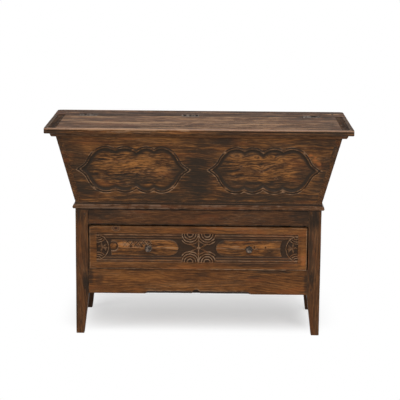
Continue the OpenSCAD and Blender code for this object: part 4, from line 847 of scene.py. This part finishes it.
# The moulding round the panel: distance in from its edge, height; and distance, darkness, painted shade with dirt
frameSteps = [(-0.5, 0), (0.5, -2.0), (3, -3.4), (5, -2.6), (7, -1.4), (9.5, -1.4), (11.5, -2.6), (14, -4.2),
              (16.5, -4.4), (18.5, -3.6), (21, -3.4), (23, -4.6), (25, drawer["ground"])]
frameShades = [(0, 0.1), (1.5, 0.9), (4, 0.75), (6, 0.1), (9.5, 0.15), (12, 0.8), (15, 1.0), (18, 0.6), (21, 0.5),
               (24, 1.0)]
drawerMarks = {
    # The seam at z 0.4846 is painted shadow and dirt along the drawer's top edge, under the rail
    "sootAndShade": 0.92, "crestColour": (0.218, 0.137, 0.082), "even": 0.25, "seams": [("z", 0.4846, 0.0026, 0.35)],
    "lively": [(-0.22, 0.39, 0.15, 0.040, 0.7), (0.22, 0.39, 0.14, 0.040, 0.7)], "knots": [(-0.357, 0.4755, 0.0135)],
    "stainsAndShadows": [(-0.46, 0.44, 0.015, 0.05, 0.3), (0.0, 0.467, 0.05, 0.014, 0.55), (0.092, 0.424, 0.024, 0.018, 0.98),
               (0.145, 0.450, 0.08, 0.009, 0.75), (-0.070, 0.391, 0.020, 0.024, 0.95),
               (0.25, 0.315, 0.20, 0.010, 0.5), (-0.33, 0.298, 0.10, 0.006, 0.6),
               (0.33, 0.296, 0.14, 0.006, 0.6), (0.15, 0.366, 0.09, 0.012, 0.65),
               (-0.24, 0.366, 0.13, 0.014, 0.65), (0.31, 0.366, 0.06, 0.012, 0.6), (-0.26, 0.422, 0.09, 0.010, 0.45),
               (0.27, 0.352, 0.12, 0.008, 0.6), (-0.10, 0.372, 0.03, 0.012, 0.5)],
    "glow": [(-0.322, 0.402, 0.030, 0.013, 0.75), (-0.108, 0.390, 0.034, 0.0050, 0.75),
             (0.13, 0.400, 0.045, 0.012, 0.25), (0.30, 0.402, 0.06, 0.014, 0.25), (0.15, 0.475, 0.20, 0.009, 0.10),
             (0.457, 0.36, 0.014, 0.08, 0.20), (0.20, 0.399, 0.05, 0.010, 0.25), (-0.30, 0.325, 0.12, 0.012, 0.15)],
    "embers": [(-0.32, 0.402, 0.03, 0.010, 0.35), (0.12, 0.478, 0.16, 0.007, 0.30), (0.457, 0.34, 0.010, 0.03, 0.4)],
    "pale": [(-0.318, 0.403, 0.022, 0.008, 0.6), (-0.222, 0.406, 0.008, 0.006, 0.8),
             (-0.120, 0.391, 0.030, 0.003, 0.7), (0.165, 0.398, 0.012, 0.004, 0.5)],
}


def ease(value, low, high):
    t = np.clip((value - low) / (high - low), 0, 1)
    return t * t * (3 - 2 * t)


def dome(value):
    # 1 at 0, and down a quarter circle to 0 at 1
    return np.sqrt(np.clip(1 - value ** 2, 0, 1))


def bell(value, width):
    return np.exp(-(value / width) ** 2)


def ridge(distance, width, high):
    return high * dome(distance / (width / 2))


def leaf(x, z, cx, cz, angle, length, half):
    # A pointed leaf with a sunk vein, growing from (cx, cz)
    a = math.radians(angle)
    u = (x - cx) * math.cos(a) + (z - cz) * math.sin(a)
    v = -(x - cx) * math.sin(a) + (z - cz) * math.cos(a)
    swell = np.sin(np.clip(u / length, 0, 1) * math.pi)
    v = v + 3.0 * swell * (1 if angle % 180 < 90 else -1)
    body = np.where((u > 0) & (u < length), dome(v / (half * swell ** 0.8 + 1e-3)), 0.0)
    return body * 3.0 - np.where(np.abs(v) < 0.9, body * 1.6, 0)


def layOver(face, mask, orn, ground, darkest):
    # Ornament laid over height, darkness and wear where the mask is 1: its ground painted dark, as shade with dirt,
    # its ridges light, as wear with highlights
    h, shade, wearAndHighlight = face
    return (h * (1 - mask) + (ground + orn) * mask,
            np.where(mask > 0.5, np.clip(darkest - orn / 4.4, 0.4, 1), shade),
            np.where(mask > 0.5, np.clip((orn - 2.2) / 1.6, 0, 1), wearAndHighlight))


def carveDrawer(x, z):
    # Height, darkness (painted shade with dirt) and wear (with painted highlights) of the drawer's face, in mm out
    # from the middle of its panel
    d = drawer
    x = x - d["panelX"]
    ax, az = np.abs(x), np.abs(z)
    wobble = 0.6 * np.sin(x * 0.11 + z * 0.05) + 0.4 * np.sin(x * 0.37 - z * 0.21)
    inside = np.minimum(d["panelW"] - ax, d["panelH"] - az) + 0.45 * wobble
    h = np.interp(inside, *zip(*frameSteps))
    shade = np.interp(inside, *zip(*frameShades))
    wearAndHighlight = bell(inside - 8.0, 1.7) * 0.75 + bell(inside - 20.0, 1.5) * 0.30 + bell(inside + 0.6, 0.9) * 0.35

    # Raised fields: a rounded inner end with a roll along it, and an outer end hollowed out
    r = d["fieldH"]
    left = x < 0
    bite = np.where(left, np.hypot(ax - (d["fieldOut"] - 2), z - 6) - 19.0, np.hypot(ax - d["panelW"] - 5, z) - 80.0)
    inner = np.where(ax < d["fieldIn"] + r, r - np.hypot(ax - d["fieldIn"] - r, z * 1.08), r - az)
    within = np.minimum(np.minimum(inner, d["fieldOut"] + 8 - ax), bite) + 0.5 * wobble
    slope = -1.0 - 3.0 * (az / r) ** 1.3 - 0.35 * np.abs(wobble)
    roll = (ax < 205) & (az < 11.5)
    groove = (ax < 207) & (np.abs(az - 12.5) < 1.2)
    slope = np.where(roll, -0.5 - 1.3 * (az / 11.5) ** 2, np.where(groove, slope - 1.2, slope))
    field = d["ground"] + (slope - d["ground"]) * ease(within, 0.0, 2.4)
    onField = (within > 0) & (ax > d["blockIn"])
    h = np.where(onField, np.maximum(h, field), h)
    # The ground round each field is painted dark, as shade with dirt, and its arrises and middle ridge light, as
    # painted highlights
    cleanAndLit = ease(within, 0.5, 6.0) + np.where(left & (bite < 9), 0.55 - 0.55 * ease(within, 0.5, 4.0), 0.0)
    shade = np.where(onField, 0.95 - 1.1 * np.clip(cleanAndLit, 0, 1) + np.where(groove, 0.6, 0), shade)
    ridgeLine = bell(z - 1.5 * np.sin(x * 0.02), 2.0) * 0.6
    wearAndHighlight = np.where(onField, bell(within - 2.8, 1.5) * 0.4 + ridgeLine, wearAndHighlight)

    # A lattice scratched between the old handle's holes and the left knob, its grooves painted dark as shade and
    # their edges light as highlights
    hatch = onField & left & (ax < 322) & (ax > 196) & (z > 4) & (z < 32)
    lines = np.minimum(np.abs(np.sin((x + 0.9 * z) / 7.4)), np.abs(np.sin((x - 0.9 * z) / 7.4)))
    h = np.where(hatch, h - 1.2 * ease(lines, 0.35, 0.05), h)
    shade = np.where(hatch, ease(lines, 0.40, 0.14), shade)
    wearAndHighlight = np.where(hatch, bell(lines - 0.55, 0.14) * 0.95, wearAndHighlight)
    boss = np.where(left, 15.0 - np.hypot(ax - (d["fieldOut"] - 2), z - 6), -1.0)
    h = np.where(boss > 0, np.maximum(h, d["ground"] + 5.2 * np.sqrt(np.clip(boss / 15.0, 0, 1))), h)
    shade = np.where(boss > 0, 0.5 - 0.7 * ease(boss, 0, 5), shade)
    wearAndHighlight = np.where(boss > 0, 0.0, wearAndHighlight)
    wearAndHighlight = np.maximum(wearAndHighlight, np.where(left & onField, bell(bite - 2.8, 2.6) * 1.3, 0.0))

    # Middle block: four fans, an upright rib with a bud, and ribbons between the fans
    bx = x - d["blockX"]
    abx = np.abs(bx)
    orn = np.zeros_like(x)
    fanR = np.hypot(abx - 37.0, d["panelH"] - 2 - az)
    for radius, wide in ((46.0, 6.0), (35.5, 6.5), (24.5, 6.5), (13.0, 6.5)):
        reach = ease(abx, 2.0, 6.0) if radius > 40 else 1.0
        orn = np.maximum(orn, ridge(fanR - radius - 0.6 * np.sin(bx * 0.3), wide, 4.2) * reach)
    orn = np.maximum(orn, 4.4 * dome(bx / (2.6 + 2.1 * bell(az - 24, 13.0))))
    orn = np.maximum(orn, 4.6 * dome((abx + az) / 11.0))
    for angle in (36, 144, 216, 324):
        orn = np.maximum(orn, leaf(bx, z, 6 * math.cos(math.radians(angle)), 0, angle, 50.0, 4.2) * 1.3)
    mask = ease(d["blockIn"] - abx, 0.0, 2.0) * ease(d["panelH"] - az, -0.3, 1.2)
    h, shade, wearAndHighlight = layOver((h, shade, wearAndHighlight), mask, orn, -5.2 + 0.3 * wobble, 0.97)

    # Half roses against the ends of the panel
    ex = d["panelW"] - ax
    orn = np.zeros_like(x)
    span = np.hypot(ex + 5, az)
    rose = d["roseR"]
    inRing = ease(rose - 8 - span, -2.0, 1.5)
    orn = np.maximum(orn, ridge(span - (rose - 3.0), 5.0, 4.4))
    corner = np.hypot(ex - 4, d["panelH"] - az)
    for radius in (42.0, 32.5, 23.0, 13.5):
        orn = np.maximum(orn, ridge(corner - radius, 5.4, 3.9) * np.maximum(inRing, ease(18 - ex, -6, 2)))
    for angle in (0, 48, -48, 100, -100, 180):
        orn = np.maximum(orn, leaf(ex, z, 26.0, 1, angle, 25.0, 4.6) * 1.35 * inRing)
    orn = np.maximum(orn, 4.4 * dome(np.hypot(ex - 26.0, z - 1) / 6.0))
    mask = ease(rose - span, 0.0, 1.6) * ease(ex, -0.3, 1.2) * ease(d["panelH"] - az, -0.3, 1.2)
    h, shade, wearAndHighlight = layOver((h, shade, wearAndHighlight), mask, orn, -5.4 + 0.25 * wobble, 1.0)
    panel = inside > -1.2
    for hole in d["holeX"]:
        away = np.hypot(x + d["panelX"] - hole, z - d["holeRise"])
        shade = np.maximum(shade, ease(away, 6.5, 3.5))
        wearAndHighlight = np.where(away < 9, bell(away - 7.5, 1.4) * 0.6, wearAndHighlight)
    # A flat seat under each knob's rose
    for knob in d["knobX"]:
        seat = np.hypot(x + d["panelX"] - knob, z + d["knobDrop"]) < 18.5
        h = np.where(seat, np.minimum(h, -1.55), h)
    # The drawer's own edges are rubbed light: wear with painted highlights, stronger at the right
    edge = np.minimum(d["halfW"] - np.abs(x + d["panelX"]), d["halfH"] - np.abs(z))
    rubbedAndHighlit = ease(edge, 4.0, 2.4) * np.where(x > 60, 0.95, 0.4) * ease(d["halfH"] - z, 1.4, 2.0)
    return h, np.where(panel, np.clip(shade, 0, 1), 0.0), np.where(panel, np.clip(wearAndHighlight, 0, 1), rubbedAndHighlit)


def spread(zones):
    # Positions along one side, with each zone's own spacing
    places = [zones[0][0]]
    for start, end, pitch in zones:
        count = max(1, int(round((end - start) / pitch)))
        places += [start + (end - start) * (i + 1) / count for i in range(count)]
    return places


def cutWith(piece, bm):
    # Takes the blocks and rods of bm out of the piece
    cutter = linked("cutter", meshOf(bm, "cutter"))
    modifier = piece.modifiers.new("cut", "BOOLEAN")
    modifier.object = cutter
    modifier.operation = "DIFFERENCE"
    modifier.solver = "MANIFOLD"
    depsgraph = bpy.context.evaluated_depsgraph_get()
    mesh = bpy.data.meshes.new_from_object(piece.evaluated_get(depsgraph))
    piece.modifiers.clear()
    old = piece.data
    piece.data = mesh
    bpy.data.meshes.remove(old)
    bpy.data.objects.remove(cutter)


def carveFace(xs, zs, middle, face, back, carve):
    # A board whose front is a grid that carve(x, z) shapes, both in mm from its middle
    bm = bmesh.new()
    columns, rows = len(xs) - 1, len(zs) - 1
    bmesh.ops.create_grid(bm, x_segments=columns, y_segments=rows, size=1.0)
    hollow, crest = markLayers(bm)
    px = np.array([xs[int(round((v.co.x + 1) / 2 * columns))] for v in bm.verts])
    pz = np.array([zs[int(round((v.co.y + 1) / 2 * rows))] for v in bm.verts])
    heights, shade, wearAndHighlight = carve(px, pz)
    grit = np.array([noise.noise((x * 0.08, z * 0.25, 0.5)) for x, z in zip(px, pz)])
    heights = heights - np.where(heights < -0.05, 0.30 * np.abs(grit), 0.0)
    for v, x, z, h, dark, rub in zip(bm.verts, px, pz, heights, shade, wearAndHighlight):
        v.co = (x * mm, face - h * mm, middle + z * mm)
        v[hollow] = float(dark)
        v[crest] = float(rub)
    grown = bmesh.ops.extrude_edge_only(bm, edges=[e for e in bm.edges if e.is_boundary])
    for v in vertsOf(grown):
        v.co.y = back
        v[hollow] = v[crest] = 0.0
    bmesh.ops.contextual_create(bm, geom=edgesOf(grown))
    faceOut(bm)
    return bm


def makeDrawerFront():
    d = drawer
    half, middle, back, over = d["halfW"] * mm, (d["z0"] + d["z1"]) / 2, d["face"] + d["thick"], d["over"]
    ends = (d["face"] - d["past"], back + d["past"])
    bm = carveFace(spread(d["columns"]), spread(d["rows"]), middle, d["face"], back, carveDrawer)
    rough = linked("rough", meshOf(bm, "rough"))

    # Sockets for the tails, the holes, and then the groove for the bottom
    bm = bmesh.new()
    for sign in (-1, 1):
        inner, outer = sorted((sign * (half - d["sideThick"]), sign * (half + over)))
        for i in range(d["tails"]):
            z = d["sideZ0"] + (i + 0.5) * d["sideHigh"] / d["tails"]
            made = addBlock(bm, (inner, back - d["tail"], z - d["tailHigh"] / 2),
                            (outer, back + over, z + d["tailHigh"] / 2))
            for v in made:
                if v.co.y > back:
                    v.co.z = z + (v.co.z - z) * (1 - 2 * d["flare"] / d["tailHigh"])
    for x in d["knobX"]:
        addRod(bm, x * mm, middle - d["knobDrop"] * mm, d["shankR"], *ends)
    for x in d["holeX"]:
        addRod(bm, x * mm, middle + d["holeRise"] * mm, d["holeR"], *ends)
    cutWith(rough, bm)
    bm = bmesh.new()
    groove = half - d["sideThick"] + 1 * mm
    addBlock(bm, (-groove, back - d["grooveDeep"], d["groove"][0]), (groove, back + over, d["groove"][1]))
    cutWith(rough, bm)
    bm = bmesh.new()
    bm.from_mesh(rough.data)
    bpy.data.objects.remove(rough)
    wood = makeWood("drawerFrontWood", "warm", "x", ((-half, d["face"], d["z0"]), (half, back, d["z1"])),
                    (0.83, 0.02, 0.0), (0.36, 0.02), hollow=True, wear=0.5, **drawerMarks)
    finishMesh(bm, "carved_drawer_front", "drawer", wood, ["drawer_front"], 40.0)


makeDrawerFront()
print("drawer front carved")

# Apron with its chamfered and arched lower edge; the sizes of its face are in mm
apron = {
    "z0": 183 * mm, "high": 110.0, "face": -227 * mm, "thick": 26 * mm, "chamferHalf": 232.0, "chamferHigh": 13.0,
    "archR": 17.0, "archDepth": 18.0, "archX": -8.0,
    "columns": [(-475.7, -240, 12), (-240, -215, 1.8), (-215, -32, 6), (-32, 16, 0.9), (16, 215, 6),
                (215, 240, 1.8), (240, 475.7, 12)],
    "rows": [(-55, -33, 0.9), (-33, 50, 6), (50, 55, 1.0)],
}
apronMarks = {
    "lift": -0.02,
    "stainsAndShadows": [(0.33, 0.285, 0.10, 0.010, 0.75), (0.02, 0.272, 0.03, 0.010, 0.5), (-0.470, 0.27, 0.016, 0.05, 0.85),
               (-0.43, 0.245, 0.02, 0.03, 0.5), (0.472, 0.24, 0.012, 0.06, 0.8), (-0.25, 0.288, 0.06, 0.006, 0.7),
               (0.24, 0.262, 0.03, 0.008, 0.6), (0.0, 0.1865, 0.45, 0.003, 0.8)],
    "glow": [(-0.22, 0.255, 0.10, 0.024, 0.18), (-0.36, 0.262, 0.06, 0.020, 0.14), (-0.10, 0.225, 0.10, 0.014, 0.14),
             (0.40, 0.215, 0.08, 0.018, 0.10)],
}


def carveApron(x, z):
    a = apron
    up = z + a["high"] / 2
    wobble = 0.5 * np.sin(x * 0.045) + 0.4 * np.sin(x * 0.13 + 1.0)
    reach = np.minimum(a["chamferHigh"] - 1 + wobble - up, a["chamferHalf"] - up - np.abs(x))
    h = -np.clip(reach, 0, a["chamferHigh"]) * ease(reach, -0.2, 0.3)
    # The chamfer and the arch are painted dark, as shade, and lines above their edges light, as painted highlights
    shade = np.where(reach > 0.4, 1.0, 0.0)
    wearAndHighlight = bell(reach + 2.0, 1.6) * 0.9
    away = np.hypot(x - a["archX"], up * 0.92)
    h = np.where(away < a["archR"], -a["archDepth"], h)
    shade = np.where(away < a["archR"] + 1.2, 1.0, shade)
    wearAndHighlight = np.where(away < a["archR"] + 1.2, 0.0, np.maximum(wearAndHighlight, bell(away - a["archR"] - 3.2, 1.6)))
    # The upper edge is worn back, and the wood is darker along the joint over it
    top = a["high"] - up
    return h - 2.4 * ease(2.6 - top, 0.0, 2.4), np.maximum(shade, ease(3.2 - top, 0.0, 1.5)), wearAndHighlight


def makeApron():
    a = apron
    bm = carveFace(spread(a["columns"]), spread(a["rows"]), a["z0"] + a["high"] / 2 * mm, a["face"],
                   a["face"] + a["thick"], carveApron)
    wood = makeWood("apronWood", "warm", "x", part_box("front_apron"), (0.31, 0.11, 0.0), (0.16, -0.03), hollow=True,
                    wear=0.35, **apronMarks)
    finishMesh(bm, "shaped_apron", "stand", wood, ["front_apron"], 35.0)


makeApron()
print("apron shaped")

# Camera, fitted to the photograph's edges
eye = {"place": (0.0644, -6.3964, 1.8259), "down": 0.1959, "turn": -0.0094, "roll": 0.008, "lens": 131.2}
camera = bpy.data.cameras.new("camera")
camera.sensor_width = 36
camera.lens = eye["lens"]
camera.clip_end = 60
cameraObject = linked("camera", camera)
level = Vector((math.sin(eye["turn"]), math.cos(eye["turn"]), 0))
ahead = level * math.cos(eye["down"]) - Vector((0, 0, math.sin(eye["down"])))
right = ahead.cross(Vector((0, 0, 1))).normalized()
up = right.cross(ahead)
right, up = (right * math.cos(eye["roll"]) + up * math.sin(eye["roll"]),
             up * math.cos(eye["roll"]) - right * math.sin(eye["roll"]))
cameraObject.matrix_world = Matrix.Translation(eye["place"]) @ Matrix((right, up, -ahead)).transposed().to_4x4()
bpy.context.scene.camera = cameraObject


def emptyTree(owner):
    owner.use_nodes = True
    owner.node_tree.nodes.clear()
    return Wire(owner.node_tree)


def asSeen(start, plain, shown, kind):
    # What lights the object, and what the camera and the reflections see instead
    seen = start.node("ShaderNodeLightPath", {}, {}, "Is Camera Ray")
    for ray in ("Is Glossy Ray", "Is Transmission Ray"):
        seen = seen.most(start.node("ShaderNodeLightPath", {}, {}, ray))
    mixed = start.node("ShaderNodeMixShader", {}, {0: seen, 1: plain, 2: shown})
    start.node(kind, {}, {0: mixed}, None)


# Floor, which shows white to the camera and keeps the shadow
floorLook = {"size": 14.0, "plain": 0.8, "shown": 0.62, "veil": 0.47, "halfX": 0.42, "front": 0.0, "back": 0.50,
             "near": 0.0, "far": 0.24}
bm = bmesh.new()
bmesh.ops.create_grid(bm, x_segments=1, y_segments=1, size=floorLook["size"])
floor = linked("floor", meshOf(bm, "floor"))
floorMaterial = bpy.data.materials.new("floorPaint")
start = emptyTree(floorMaterial)
white = start.node("ShaderNodeBsdfDiffuse", {}, {0: rgb(*[floorLook["shown"]] * 3)})
lit = start.node("ShaderNodeEmission", {}, {0: rgb(1, 1, 1), 1: floorLook["veil"]})
pure = start.node("ShaderNodeEmission", {}, {0: rgb(1, 1, 1), 1: 1.0})
spot = start.node("ShaderNodeTexCoord", {}, {}, "Object").parts()
besideX = (spot[0].maths("ABSOLUTE") - floorLook["halfX"]).most(0.0)
besideY = (floorLook["front"] - spot[1]).most(spot[1] - floorLook["back"]).most(0.0)
away = (besideX * besideX + besideY * besideY).maths("SQRT").step(floorLook["near"], floorLook["far"])
shadow = start.node("ShaderNodeAddShader", {}, {0: white, 1: lit})
asSeen(start, start.node("ShaderNodeBsdfDiffuse", {}, {0: rgb(*[floorLook["plain"]] * 3)}),
       start.node("ShaderNodeMixShader", {}, {0: away, 1: shadow, 2: pure}), "ShaderNodeOutputMaterial")
floor.data.materials.append(floorMaterial)

# Studio light: soft boxes above, in front and at the left, and a plain world
studio = {"soft": 0.30, "lamps": [
    {"name": "top", "place": (0.2, -0.6, 3.6), "aim": (0, 0, 0.4), "size": (3.2, 2.4), "power": 100},
    {"name": "front", "place": (1.2, -4.2, 2.6), "aim": (0, 0, 0.6), "size": (2.6, 2.0), "power": 100},
    {"name": "left", "place": (-3.2, -2.2, 1.8), "aim": (0, 0, 0.6), "size": (1.6, 2.0), "power": 25},
]}
world = bpy.data.worlds.new("studio")
bpy.context.scene.world = world
start = emptyTree(world)
soft, bright = (start.node("ShaderNodeBackground", {}, {0: rgb(1, 1, 1), 1: strength})
                for strength in (studio["soft"], 1.0))
asSeen(start, soft, bright, "ShaderNodeOutputWorld")
for lamp in studio["lamps"]:
    light = bpy.data.lights.new(lamp["name"], "AREA")
    light.shape = "RECTANGLE"
    light.size, light.size_y = lamp["size"]
    light.energy = lamp["power"]
    aim = Vector(lamp["aim"]) - Vector(lamp["place"])
    linked(lamp["name"], light).matrix_world = (Matrix.Translation(lamp["place"])
                                                @ aim.to_track_quat("-Z", "Y").to_matrix().to_4x4())
bpy.context.scene.view_settings.view_transform = "Standard"
print("camera, floor and lamps set")
